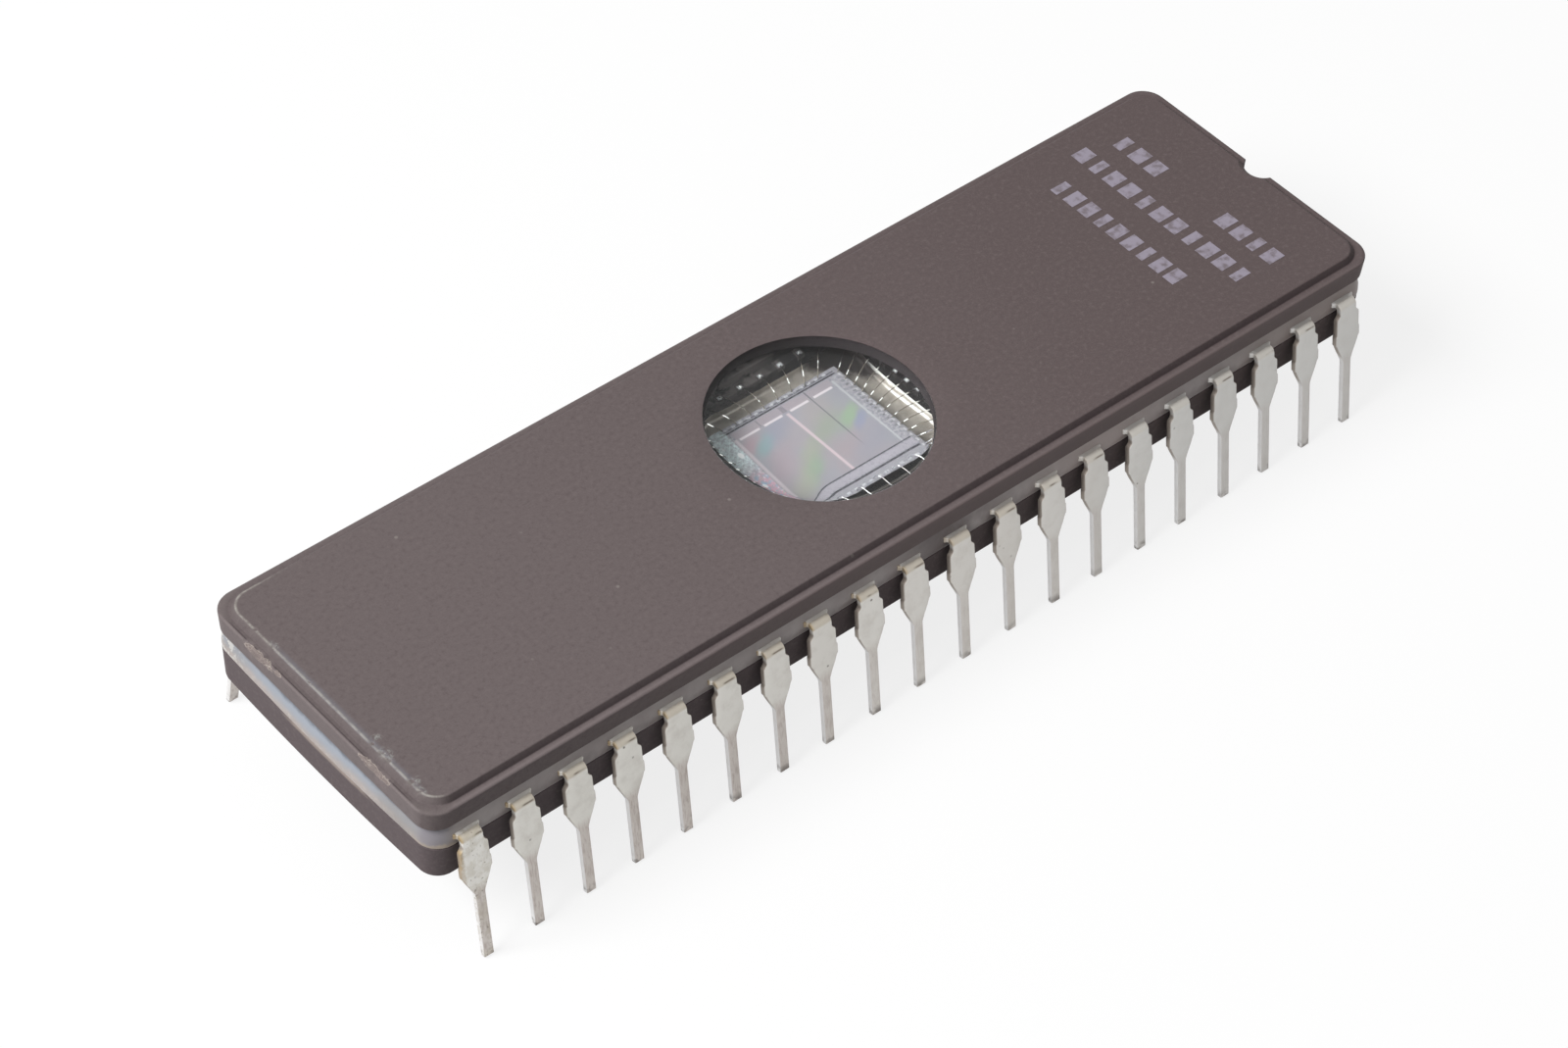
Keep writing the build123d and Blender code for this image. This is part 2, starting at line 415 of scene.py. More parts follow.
def paint(mesh, name, values):
    """One number from 0 to 1 for each vertex, for a material or a geometry tree to read."""
    layer = mesh.attributes.new(name, "FLOAT", "POINT")
    layer.data.foreach_set("value", np.clip(values, 0, 1).astype(np.float32))


def wander(points, scale, seed):
    """Smooth noise from -1 to 1 at each point."""
    shift = Vector((seed * 7.1, seed * 3.3, seed * 5.7))
    return np.array([noise.noise(Vector(p) * scale + shift) for p in points])


# %% [markdown]
# ## The lid
#
# The lid is pressed and fired ceramic, so no edge is sharp. From outside in it has a drafted side, a
# narrow ledge, a sloping step and the flat top with the round hole for the window. The left end has
# been pried and rubbed: the rims are chipped and the edge is worn pale. Chips are real dents here,
# made by moving vertices, and an attribute tells the material where the ceramic is bare.

# %% The lid's rings
def lid_outline(inset, height=None):
    """On the side the corners keep one middle, on the step they are rounder, as in the solid. The
    step runs round the notch here, which it doesn't in the solid."""
    on_side = height is not None and height < RIM - 0.03
    corner = LID_CORNER - inset if on_side else np.interp(
        inset, (0, LEDGE, LEDGE + STEP_RUN, 1.2), (LID_CORNER, 1.15, 0.93, 0.4))
    past_wall = max(0.0, inset - (SIDE_LEAN if on_side else LEDGE + STEP_RUN))
    notch = NOTCH_RADIUS if on_side else np.interp(
        inset, (LEDGE, LEDGE + STEP_RUN), (NOTCH_RADIUS, NOTCH_TOP_RADIUS))
    return outline(LID_HALF - inset, corner, notch=notch + 0.02 * inset + past_wall)


def lid_ring(inset, height):
    return at_level(lid_outline(inset, height), height)


PLATEAU = LID_TOP - INK
lid_side = rounded([
    (0.60, LID_BOTTOM, 0), (SIDE_LEAN, LID_BOTTOM, 0.10), (0.0, RIM, 0.10),
    (LEDGE, RIM - 0.02, 0.07), (LEDGE + STEP_RUN, PLATEAU, 0.09), (1.2, PLATEAU, 0)])
lid_rings = [lid_ring(*point) for point in lid_side]
lid_rings[-1:] = [lid_ring(inset, PLATEAU) for inset in (0.66, 0.70, 0.76, 0.84, 0.95, 1.2)]
top_edge = lid_outline(1.2)
hole = circle(PANE_RADIUS)
for share in (0.25, 0.5, 0.75, 0.93):
    lid_rings.append(at_level(top_edge * (1 - share) + hole * share, PLATEAU))
for grow, height in ((0.03, PLATEAU), (0.006, PLATEAU - 0.006), (0.0, PLATEAU - 0.03), (0.0, PANE_BOTTOM)):
    lid_rings.append(at_level(circle(PANE_RADIUS + grow), height))
for half, height in (
        (RECESS_HALF - 0.1, PANE_BOTTOM), (RECESS_HALF, PANE_BOTTOM - 0.1), (RECESS_HALF, LID_BOTTOM)):
    lid_rings.append(at_level(outline(half, TRAY_CORNER), height))
inner = lid_outline(0.6, LID_BOTTOM)
lid_rings.append(at_level(inner * 0.5 + outline(RECESS_HALF, TRAY_CORNER) * 0.5, LID_BOTTOM))
lid = skin("lid", lid_rings)
tell(lid)


# %% Chips and wear on the left end
def chip_field(points, chips):
    """How deep the chips bite at each point, from 0 to 1: a broken patch round each place."""
    depth = np.zeros(len(points))
    for (x, y, z), (reach_x, reach_y, reach_z) in chips:
        away = (points - (x, y, z)) / (reach_x, reach_y, reach_z)
        depth = np.maximum(depth, 1 - np.linalg.norm(away, axis=1))
    near = depth > 0
    ragged = np.zeros(len(points))
    ragged[near] = wander(points[near], 4.5, 1) + 0.6 * wander(points[near], 11.0, 2)
    return np.clip(depth * 1.6 + ragged * 0.9 - 0.15, 0, 1) * near


end_x = -LID_HALF[0]
edge_x = end_x + LEDGE + STEP_RUN
rim_chips = [((end_x + 0.04, y, RIM - 0.02), (0.22, reach, 0.15)) for y, reach in (
    (4.4, 0.40), (3.85, 0.60), (3.2, 0.45), (-3.35, 0.45), (-4.0, 0.55), (-4.5, 0.30))]
rim_chips += [((-14.83, -LID_HALF[1] + 0.02, RIM), (0.12, 0.10, 0.08))]
edge_chips = [((edge_x + 0.03, y, LID_TOP), (reach, reach * 1.3, 0.09)) for y, reach in (
    (4.8, 0.12), (3.6, 0.12), (1.2, 0.07), (-2.83, 0.13), (-3.5, 0.20), (-3.9, 0.15), (-5.3, 0.20),
    (-5.9, 0.10))]
edge_chips += [((x, -LID_HALF[1] + LEDGE + STEP_RUN, LID_TOP), (0.16, 0.09, 0.08)) for x in (-9.19, -6.41)]
points = points_of(lid)
outer = (points[:, 2] > LID_BOTTOM + 0.2) & (np.abs(points[:, 0]) > 8) | (np.abs(points[:, 1]) > 6.3)
bite = chip_field(points, rim_chips + edge_chips) * outer
inward = -np.sign(points[:, 0]) * (np.abs(points[:, 0]) > LID_HALF[0] - 1.0)
points[:, 0] += inward * bite * 0.07
points[:, 2] -= bite * 0.06 * (points[:, 2] > RIM - 0.12)
move_points(lid, points)

height_on_edge = np.exp(-((points[:, 2] - PLATEAU) / 0.05) ** 2)
along_left = 1 / (1 + np.exp(-(-points[:, 0] - 23.6) * 2.0))
beyond = np.abs(points[:, :2]) - (LID_HALF - LEDGE - STEP_RUN - 0.93)
from_edge = np.linalg.norm(np.maximum(beyond, 0), axis=1) + np.minimum(beyond.max(axis=1), 0) - 0.93
edge_line = np.exp(-((from_edge + 0.035) / 0.045) ** 2) * height_on_edge
rim_line = np.exp(-((points[:, 2] - RIM + 0.03) / 0.06) ** 2) * (from_edge > 0.42)
paint(lid.data, "bare", bite)
slope = np.exp(-((from_edge - 0.12) / 0.10) ** 4) * (points[:, 2] > RIM - 0.04)
ledge = np.exp(-((from_edge - 0.46) / 0.11) ** 4) * (np.abs(points[:, 2] - RIM) < 0.07)
near_side = (points[:, 1] < -LID_HALF[1] + 1.5) * np.clip((points[:, 0] + LID_HALF[0] - 0.9) * 2.5, 0, 1)
right_end = points[:, 0] > LID_HALF[0] - 0.9
far_side = points[:, 1] > LID_HALF[1] - 0.9
paint(lid.data, "edge_wear", (edge_line + 0.08 * rim_line) * along_left * (1 - near_side))
# Painted shade on the step's slope: strong on the near side, light elsewhere, least at the right end.
paint(lid.data, "foot_dirt", slope * (0.28 - 0.20 * right_end + 0.72 * near_side))
# Painted light on the ledge: mostly on the near side, fading towards the right, and a little on the far side.
paint(lid.data, "ledge_light", ledge * np.maximum(near_side * (0.52 - 0.014 * points[:, 0]), 0.2 * far_side))
print("chipped vertices", int((bite > 0.2).sum()))

# %% [markdown]
# ## The base
#
# The base is the same ceramic. Its end faces bow out a little, and it narrows downwards so that it
# leaves the mould. The die cavity is a shallow tray with rounded corners and a metallised floor,
# which the window shows.

# %% The base's rings
def base_ring(inset, height):
    return at_level(outline(BASE_HALF - inset, BASE_CORNER - inset, bow=BASE_BOW), height)


def cavity_ring(inset, height):
    return at_level(outline(CAVITY_HALF - inset, TRAY_CORNER - inset * 0.5), height)


DRAFT = math.tan(math.radians(2.3)) * (BASE_TOP - BASE_BOTTOM)
base_side = rounded([
    (1.5, BASE_BOTTOM, 0), (DRAFT, BASE_BOTTOM, 0.16), (0.0, BASE_TOP, 0.06), (0.5, BASE_TOP, 0)])
tray = rounded([
    (-0.6, BASE_TOP, 0), (0.0, BASE_TOP, 0.08), (0.02, CAVITY_FLOOR, 0.14), (0.9, CAVITY_FLOOR, 0)])
base_rings = [at_level(outline(BASE_HALF, 0.6) * share, BASE_BOTTOM) for share in (0.3, 0.7)]
base_rings += [base_ring(*point) for point in base_side]
base_rings += [cavity_ring(*point) for point in tray]
base_rings += [at_level(outline(CAVITY_HALF - 0.9, 0.1) * share, CAVITY_FLOOR) for share in (0.6, 0.2)]
base = skin("base", base_rings, closed=False, poles=((0, 0, BASE_BOTTOM), (0, 0, CAVITY_FLOOR)))
tell(base)

# %% [markdown]
# ## The seal glass
#
# The glass was paste, fired between the two ceramics. It wets both, so its outer face is a soft
# hollow under the lid and a fuller curve at the base, with small runs. Inside, it makes the shelf
# that the lead fingers lie on.

# %% The glass band's rings
band = LID_BOTTOM - BASE_TOP
seal_face = [(0.5, 0.0), (0.10, 0.0), (0.05, 0.0), (0.015, 0.02), (0.0, 0.05), (-0.008, 0.09), (-0.012, 0.14),
             (-0.012, 0.20), (-0.008, 0.27), (0.004, 0.35), (0.022, 0.44), (0.045, 0.54), (0.07, 0.64),
             (0.095, 0.74), (0.115, 0.83), (0.13, 0.90), (0.14, 0.95), (0.14, 0.98), (0.16, 1.0), (0.5, 1.0)]
seal_rings = [base_ring(inset, BASE_TOP + share * band) for inset, share in seal_face]
seal_rings += [at_level(outline(half, TRAY_CORNER), height) for half, height in (
    (SHELF_HALF + 0.6, LID_BOTTOM), (SHELF_HALF + 0.04, LID_BOTTOM), (SHELF_HALF, LID_BOTTOM - 0.04),
    (SHELF_HALF, FRAME_TOP + 0.04), (SHELF_HALF - 0.015, FRAME_TOP), (SHELF_HALF - 0.05, FRAME_TOP - 0.02),
    (CAVITY_HALF + 0.10, FRAME_TOP - 0.02), (CAVITY_HALF + 0.04, FRAME_TOP - 0.035),
    (CAVITY_HALF + 0.01, FRAME_TOP - 0.09), (CAVITY_HALF, BASE_TOP + 0.05), (CAVITY_HALF, BASE_TOP),
    (CAVITY_HALF + 0.4, BASE_TOP))]
seal = skin("seal_band", seal_rings)
points = points_of(seal)
outside = (np.abs(points[:, :2]) - (BASE_HALF - 0.45)).max(axis=1) > 0
middle = np.clip(1 - np.abs((points[:, 2] - BASE_TOP) / band - 0.5) * 2, 0, 1) ** 0.5
sway = wander(points * (1, 1, 2), 0.9, 3) * 0.5 + wander(points * (1, 1, 1.5), 2.8, 4) * 0.22
push = np.minimum(sway * 0.05, 0.012) * outside * middle
direction = points[:, :2] / np.linalg.norm(points[:, :2] / BASE_HALF, ord=8, axis=1)[:, None] / BASE_HALF
points[:, :2] += direction * push[:, None]
move_points(seal, points)
tell(seal)

# %% [markdown]
# ## The leads
#
# Forty leads are stamped from thin strip, with square cut edges a little rounded by the die, then
# bent down and tinned. All have one shape, so the flat blank is made once, as sections along the
# strip. Geometry Nodes then bend it, set twenty of them along the row and give each one a small
# turn and a number of its own, which the tin's colour reads.

# %% The flat blank
SPLAY = math.radians(9.2)
ROW = 20
PITCH = 2.54
bend_radius = 0.08 + LEAD_THICK / 2
frame_middle = FRAME_TOP - LEAD_THICK / 2
knee_y = LID_HALF[1] + 0.263
leg = (frame_middle - LEAD_THICK / 2 * math.sin(SPLAY)) / math.cos(SPLAY)
bend_angle = math.pi / 2 - SPLAY
bend_start = leg - bend_radius * math.tan(bend_angle / 2)
bend_length = bend_radius * bend_angle
tip_y = knee_y + math.sin(SPLAY) * leg
root_y = BASE_HALF[1] - 0.90
up_leg = 1 / math.cos(SPLAY)
blank_end = bend_start + bend_length + (knee_y - bend_radius * math.tan(bend_angle / 2)) - root_y
bend_end = bend_start + bend_length
half_widths = [(0.0, 0.226), (0.015, 0.233), (0.09, 0.235), (0.5, 0.235)]
half_widths += [(height * up_leg, half) for height, half in (
    (3.24, 0.235), (3.36, 0.245), (3.46, 0.285), (3.56, 0.325), (3.66, 0.365), (3.82, 0.44), (4.02, 0.535),
    (4.20, 0.61), (4.33, 0.655), (4.38, 0.69), (4.42, 0.722), (4.48, 0.73), (4.84, 0.73), (4.90, 0.72),
    (4.94, 0.69), (5.0, 0.68), (5.66, 0.678), (5.74, 0.66), (5.80, 0.60), (5.87, 0.535), (5.95, 0.50))]
half_widths += [(bend_end - 0.02, 0.495), (bend_end + 0.04, 0.52), (bend_end + 0.09, 0.60),
                (bend_end + 0.12, 0.63), (blank_end, 0.63)]


def blank_section(half_width, squeeze=1.0):
    """One cut across the strip: flat faces and small rounded edges."""
    t = LEAD_THICK / 2 * squeeze
    edge = min(0.032, half_width * 0.3)
    w = half_width
    face = [(-w + edge, t), (-w * 0.45, t), (w * 0.45, t), (w - edge, t)]
    right = [(w - edge * 0.3, t - edge * 0.3), (w, t - edge), (w, -t + edge), (w - edge * 0.3, -t + edge * 0.3)]
    back = [(-x, -y) for x, y in face]
    left = [(-x, -y) for x, y in right]
    return face + right + back + left


stations = [s for s, _ in half_widths]
extra = (*np.linspace(0.7, 3.1 * up_leg, 5), *np.linspace(bend_start - 0.02, bend_end + 0.02, 13))
stations = sorted(set(stations) | set(extra))
widths = np.interp(stations, *zip(*half_widths))
verts, faces = [], []
for s, w in zip(stations, widths):
    verts += [(x, s, t) for x, t in blank_section(w, 0.86 if s == 0 else 1.0)]
size = len(blank_section(1.0))
for j in range(len(stations) - 1):
    for i in range(size):
        k = (i + 1) % size
        faces.append((j * size + i, j * size + k, (j + 1) * size + k, (j + 1) * size + i))
faces.append(tuple(range(size))[::-1])
faces.append(tuple(range((len(stations) - 1) * size, len(stations) * size)))
blank = finish_mesh("lead_blank", np.array(verts), [f[::-1] for f in faces], 42)
on_cut = [0, 0, 0, 0, 0.6, 1, 1, 0.6] * 2
paint(blank.data, "cut_edge", np.tile(on_cut, len(stations)))
tell(blank)


# %% Bend it and repeat it along the row
def geometry_tree(name, inputs):
    """An empty geometry tree with named inputs, and the identifier of each."""
    tree = bpy.data.node_groups.new(name, "GeometryNodeTree")
    tree.interface.new_socket("Geometry", in_out="INPUT", socket_type="NodeSocketGeometry")
    tree.interface.new_socket("Geometry", in_out="OUTPUT", socket_type="NodeSocketGeometry")
    names = {}
    for label, kind in inputs.items():
        names[label] = tree.interface.new_socket(label, in_out="INPUT", socket_type=kind).identifier
    graph = Graph(tree)
    source = graph.add("NodeGroupInput")
    return graph, source, names


def run_tree(name, start, graph, names, values):
    """Sets the inputs by identifier, evaluates once, and returns the result as a plain mesh."""
    modifier = start.modifiers.new(name, "NODES")
    modifier.node_group = graph.tree
    for label, value in values.items():
        modifier[names[label]] = value
    start.update_tag()
    mesh = evaluated(start)
    start.modifiers.remove(modifier)
    mesh.name = name
    return stand(name, mesh)


def close_tree(graph, geometry, material, smooth=False):
    """Makes the instances real, gives them their material and ends the tree."""
    real = graph.add("GeometryNodeRealizeInstances", values={"Geometry": geometry})
    if smooth:
        real = graph.add("GeometryNodeSetShadeSmooth", values={"Geometry": real, "Shade Smooth": True})
    graph.add("NodeGroupOutput", values={"Geometry": graph.add(
        "GeometryNodeSetMaterial", values={"Geometry": real, "Material": material})})


FLOAT, INTEGER, MATERIAL = "NodeSocketFloat", "NodeSocketInt", "NodeSocketMaterial"
graph, source, row_inputs = geometry_tree("bend_and_repeat", {
    "Bend start": FLOAT, "Bend radius": FLOAT, "Splay": FLOAT, "Tip distance": FLOAT, "Tip height": FLOAT,
    "Count": INTEGER, "Pitch": FLOAT, "Row turn": FLOAT, "Small turn": FLOAT, "Seed": INTEGER, "Tin": MATERIAL})
flat = graph.add("ShaderNodeSeparateXYZ", values={0: graph.add("GeometryNodeInputPosition")})
along, offset = flat["Y"], flat["Z"]
splay, radius = source["Splay"], source["Bend radius"]
up_the_leg = along.least(source["Bend start"])
past = (along - source["Bend start"]).most(0.0)
turned = (past / radius).least(math.pi / 2 - splay)
straight = past - turned * radius
lean = splay + turned
sine = lambda v: v.math("SINE")
cosine = lambda v: v.math("COSINE")
far = (source["Tip distance"] - sine(splay) * up_the_leg + radius * (cosine(lean) - cosine(splay))
       - straight + offset * cosine(lean))
high = (source["Tip height"] + cosine(splay) * up_the_leg + radius * (sine(lean) - sine(splay))
        + offset * sine(lean))
bent = graph.add("GeometryNodeSetPosition", values={
    "Geometry": source["Geometry"],
    "Position": graph.add("ShaderNodeCombineXYZ", values={"X": flat, "Y": far, "Z": high})})
row_start = (source["Count"] - 1.0) * source["Pitch"] * -0.5
row_points = graph.add("GeometryNodeMeshLine", values={
    "Count": source["Count"],
    "Start Location": graph.add("ShaderNodeCombineXYZ", values={"X": row_start}),
    "Offset": graph.add("ShaderNodeCombineXYZ", values={"X": source["Pitch"]})})
wobble = graph.add("FunctionNodeRandomValue", {"data_type": "FLOAT"},
                   {2: -1.0 * source["Small turn"], 3: source["Small turn"], "Seed": source["Seed"]}, output=1)
placed = graph.add("GeometryNodeInstanceOnPoints", values={
    "Points": row_points, "Instance": bent,
    "Rotation": graph.add("ShaderNodeCombineXYZ", values={"Z": source["Row turn"] + wobble})})
own_number = graph.add("FunctionNodeRandomValue", {"data_type": "FLOAT"}, {2: 0.0, 3: 1.0, "Seed": 5}, output=1)
numbered = graph.add("GeometryNodeStoreNamedAttribute", {"data_type": "FLOAT", "domain": "INSTANCE"},
                     {"Geometry": placed, "Name": "lead_number", "Value": own_number})
close_tree(graph, numbered, source["Tin"])

# %% [markdown]
# ## Dull tin
#
# The leads are tinned and have been handled for years. The paddles are an even warm grey with a few
# dark specks, the narrow pins are streaked along their length, and their ends are darker where they
# were pushed into sockets. Each lead reads its own number, so no two are the same grey.

# %% The tin finish
tin = Finish("dull_tin")
x, y, z = tin.x, tin.y, tin.z
number = tin.attribute("lead_number")
streak = tin.grain(2.2, 4.0, 0.6, stretch=(5.0, 5.0, 0.5))
mottle = tin.grain(1.3, 5.0, 0.62)
on_pin = z.ramp(4.0, 3.4)
at_tip = z.ramp(0.55, 0.05)
stained = abs(x + 24.13).ramp(1.0, 0.7) * y.ramp(0.0, -1.0)
tin.tone = tin.blend((222, 218, 212), (236, 233, 228), number)
tin.over((242, 240, 232), x.ramp(6.0, -22.0) * 0.6)
tin.over((208, 202, 194), mottle.ramp(0.42, 0.72) * 0.4)
tin.over((208, 208, 206), x.ramp(2.0, 16.0) * 0.6)
tin.over((255, 253, 248), x.ramp(-22.0, -24.0) * 0.5)
soiled = on_pin * (0.25 + 0.75 * x.ramp(0.0, -12.0))
tin.over((208, 195, 189), soiled * 0.5)
tin.over((182, 167, 160), soiled * streak.ramp(0.44, 0.70) * 0.55)
cut_edge = tin.attribute("cut_edge")
tin.over((146, 132, 120), cut_edge * z.ramp(FRAME_BOTTOM - 0.02, FRAME_BOTTOM - 0.25) * 0.8)
# Painted highlight: the pins' cut edges are made white.
tin.over((255, 255, 255), cut_edge * on_pin * (0.6 + 0.4 * mottle))
bend_line = z.band(FRAME_BOTTOM + 0.10, 0.025, 0.03) * abs(y).ramp(knee_y - 0.02, knee_y + 0.01)
on_knee = z.ramp(FRAME_BOTTOM - 0.02, FRAME_BOTTOM + 0.10) * abs(y).ramp(LID_HALF[1] + 0.02, LID_HALF[1] + 0.16)
in_lead = tin.math("WRAP", x - PITCH / 2, PITCH / 2, -PITCH / 2)
tin.over((192, 180, 160), on_knee * (0.30 + 0.35 * x.ramp(10.0, 0.0)))
# Painted shade: a short dark dash in the crease under each knee.
crease_shade = bend_line * in_lead.band(0.16, 0.26, 0.10) * tin.grain(1.1, 2.0).ramp(0.40, 0.56)
tin.over((92, 76, 62), crease_shade * 0.85)
tin.over((186, 160, 112), on_knee * in_lead.ramp(-0.36, -0.54) * x.ramp(12.0, -12.0) * 0.8)
ear = z.ramp(FRAME_BOTTOM - 0.04, FRAME_BOTTOM + 0.02) * in_lead.ramp(-0.50, -0.58)
tin.over((140, 116, 74), ear * x.ramp(14.0, -10.0) * 0.85)
tin.over((112, 104, 98), at_tip * tin.grain(2.5).ramp(0.42, 0.62) * (0.35 + 0.65 * number))
speck = tin.cells(1.15).ramp(0.10, 0.05) * tin.grain(0.7).ramp(0.50, 0.60)
tin.over((92, 84, 74), speck * 0.8)
stain_patch = stained * tin.grain(2.0, 5.0, 0.7, shift=(3.0, 1.0, 0.0)).ramp(0.44, 0.60)
left_edge = stained * x.ramp(-24.66, -24.78) * z.ramp(3.9, 4.4)
tin.over((186, 176, 152), stain_patch * 0.3)
tin.over((176, 152, 112), left_edge * (0.35 + 0.45 * stain_patch))
pits = stained * tin.grain(7.0, 3.0).ramp(0.64, 0.70)
tin.over((120, 106, 88), pits * 0.6)
tin.set(Base_Color=tin.tone, Metallic=0.55, Roughness=0.40 + 0.18 * mottle + 0.10 * on_pin,
        Specular_IOR_Level=0.5)
tin.bump(0.6 * mottle + 0.5 * tin.grain(9.0, 3.0) - 1.2 * speck - 0.8 * pits, 0.022, 0.7)

# %% Two rows of twenty
rows = []
for label, turn, seed, first in (("leads_far_row", 0.0, 3, 1), ("leads_near_row", math.pi, 8, 21)):
    row = run_tree(label, blank, graph, row_inputs, {
        "Bend start": bend_start * MM, "Bend radius": bend_radius * MM, "Splay": SPLAY,
        "Tip distance": tip_y * MM, "Tip height": LEAD_THICK / 2 * math.sin(SPLAY) * MM,
        "Count": ROW, "Pitch": PITCH * MM, "Row turn": turn, "Small turn": math.radians(0.35),
        "Seed": seed, "Tin": tin.material})
    row.data.set_sharp_from_angle(angle=math.radians(42))
    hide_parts(*[f"lead_{n:02d}" for n in range(first, first + ROW)])
    rows.append(row)
    tell(row)
bpy.data.objects.remove(blank)

# %% [markdown]
# ## The fingers
#
# Inside the glass each lead runs on as a flat finger to the cavity, where its end lies bare on the
# shelf for the bond wire. The window shows these ends. The fingers fan out by the same rule as in
# the solids: a slanted run from the root, then a straight end square to the cavity. In the solids
# each finger belongs to its lead. Here all forty are one piece.

# %% Fan the fingers out
LONG_SIDE, FINGER, ROOT_HALF = 4, 0.40, 0.63
LONG_PITCH, SHORT_PITCH, STRAIGHT, STAGGER = 1.10, 0.70, 0.45, 0.20


def finger_places():
    """For each lead of a quarter: its tip, the way out from the cavity, and its straight end."""
    places = []
    for i in range(LONG_SIDE):
        places.append(((i + 0.5) * LONG_PITCH, CAVITY_HALF[1], 0, 1, STRAIGHT + (LONG_SIDE - 1 - i) * STAGGER))
    rest = ROW // 2 - LONG_SIDE
    for i in range(rest):
        places.append((CAVITY_HALF[0], (rest - i - 0.5) * SHORT_PITCH, 1, 0, STRAIGHT + i * STAGGER))
    return places


def finger_outline(root_x, place):
    tip, out = np.array(place[:2]), np.array(place[2:4])
    root = np.array((root_x, root_y))
    turn = tip + out * place[4]
    slant = (turn - root) / np.linalg.norm(turn - root)
    mitre = (slant - out) / np.linalg.norm(slant - out)
    reach = FINGER / 2 / (mitre @ -out)
    side = np.array((mitre[1], -mitre[0])) * reach
    edge = np.array((-out[1], out[0])) * FINGER / 2
    half_root = np.array((ROOT_HALF, 0.0))
    return [root - half_root, turn + side, tip + edge, tip - edge, turn - side, root + half_root]


verts, faces = [], []
for i, place in enumerate(finger_places()):
    corners = finger_outline((i + 0.5) * PITCH, place)
    for flip in ((1, 1), (-1, 1), (-1, -1), (1, -1)):
        loop = np.array(corners) * flip
        area = np.cross(loop, np.roll(loop, -1, axis=0)).sum()
        loop = loop[::-1] if area < 0 else loop
        start, n = len(verts), len(loop)
        verts += [(*p, FRAME_BOTTOM) for p in loop] + [(*p, FRAME_TOP) for p in loop]
        faces.append([start + n + k for k in range(n)])
        faces.append([start + n - 1 - k for k in range(n)])
        faces += [(start + k, start + (k + 1) % n, start + n + (k + 1) % n, start + n + k) for k in range(n)]
fingers = finish_mesh("lead_fingers", np.array(verts), faces)
soften = fingers.modifiers.new("soften", "BEVEL")
soften.width = 0.03 * MM
soften.segments = 2
soften.limit_method = "ANGLE"
smooth = evaluated(fingers)
fingers.modifiers.clear()
fingers.data = smooth
tell(fingers)

# %% [markdown]
# ## The window
#
# The pane is a disc of clear glass fused into the lid. Its top dips a hair in the middle and climbs
# the ceramic at the rim. It is a little wider than the hole, because fused glass has no gap there.

# %% Turn the pane
SEGMENTS = 160
turns = np.linspace(0, 2 * math.pi, SEGMENTS, endpoint=False)
pane_profile = [(0.35, PANE_BOTTOM), (0.8, PANE_BOTTOM), (0.97, PANE_BOTTOM), (1.005, PANE_BOTTOM + 0.04),
                (1.005, PLATEAU - 0.03), (0.999, PLATEAU - 0.012), (0.985, PLATEAU - 0.03),
                (0.965, PLATEAU - 0.042), (0.93, PLATEAU - 0.048), (0.8, PLATEAU - 0.05), (0.35, PLATEAU - 0.05)]
unit = np.column_stack((np.cos(turns), np.sin(turns)))
pane_rings = [at_level(unit * r * PANE_RADIUS, z) for r, z in pane_profile]
pane = skin("window_pane", pane_rings, closed=False, poles=((0, 0, PANE_BOTTOM), (0, 0, PLATEAU - 0.05)))
tell(pane)

# %% [markdown]
# ## The die and its wires
#
# The die is a sawn slab of silicon, so its edges are crisp. Each of its forty pads has a fine
# aluminium wire to a finger. The near side's wires start wider apart and loop higher than in the
# solids, so that they fall outwards as in the photo. A wire follows a path, which is what
# Curve to Mesh in Geometry Nodes is for: the paths are drawn here as lines of points, and the tree
# gives them their thickness and sets a flat foot on both ends.

# %% The die
half_x, half_y = die_high[:2]
die_steps = [(0.0, die_low[2]), (0.0, DIE_TOP - 0.02), (0.02, DIE_TOP)]
die_rings = []
for inset, z in die_steps:
    x, y = half_x - inset, half_y - inset
    side = np.linspace(-1, 1, 8, endpoint=False)
    loop = [(x, t * y, z) for t in side] + [(-t * x, y, z) for t in side]
    die_rings.append(loop + [(-a, -b, z) for a, b, _ in loop])
die_piece = skin("silicon_die", die_rings, closed=False, poles=((0, 0, die_low[2]), (0, 0, DIE_TOP)))
tell(die_piece)

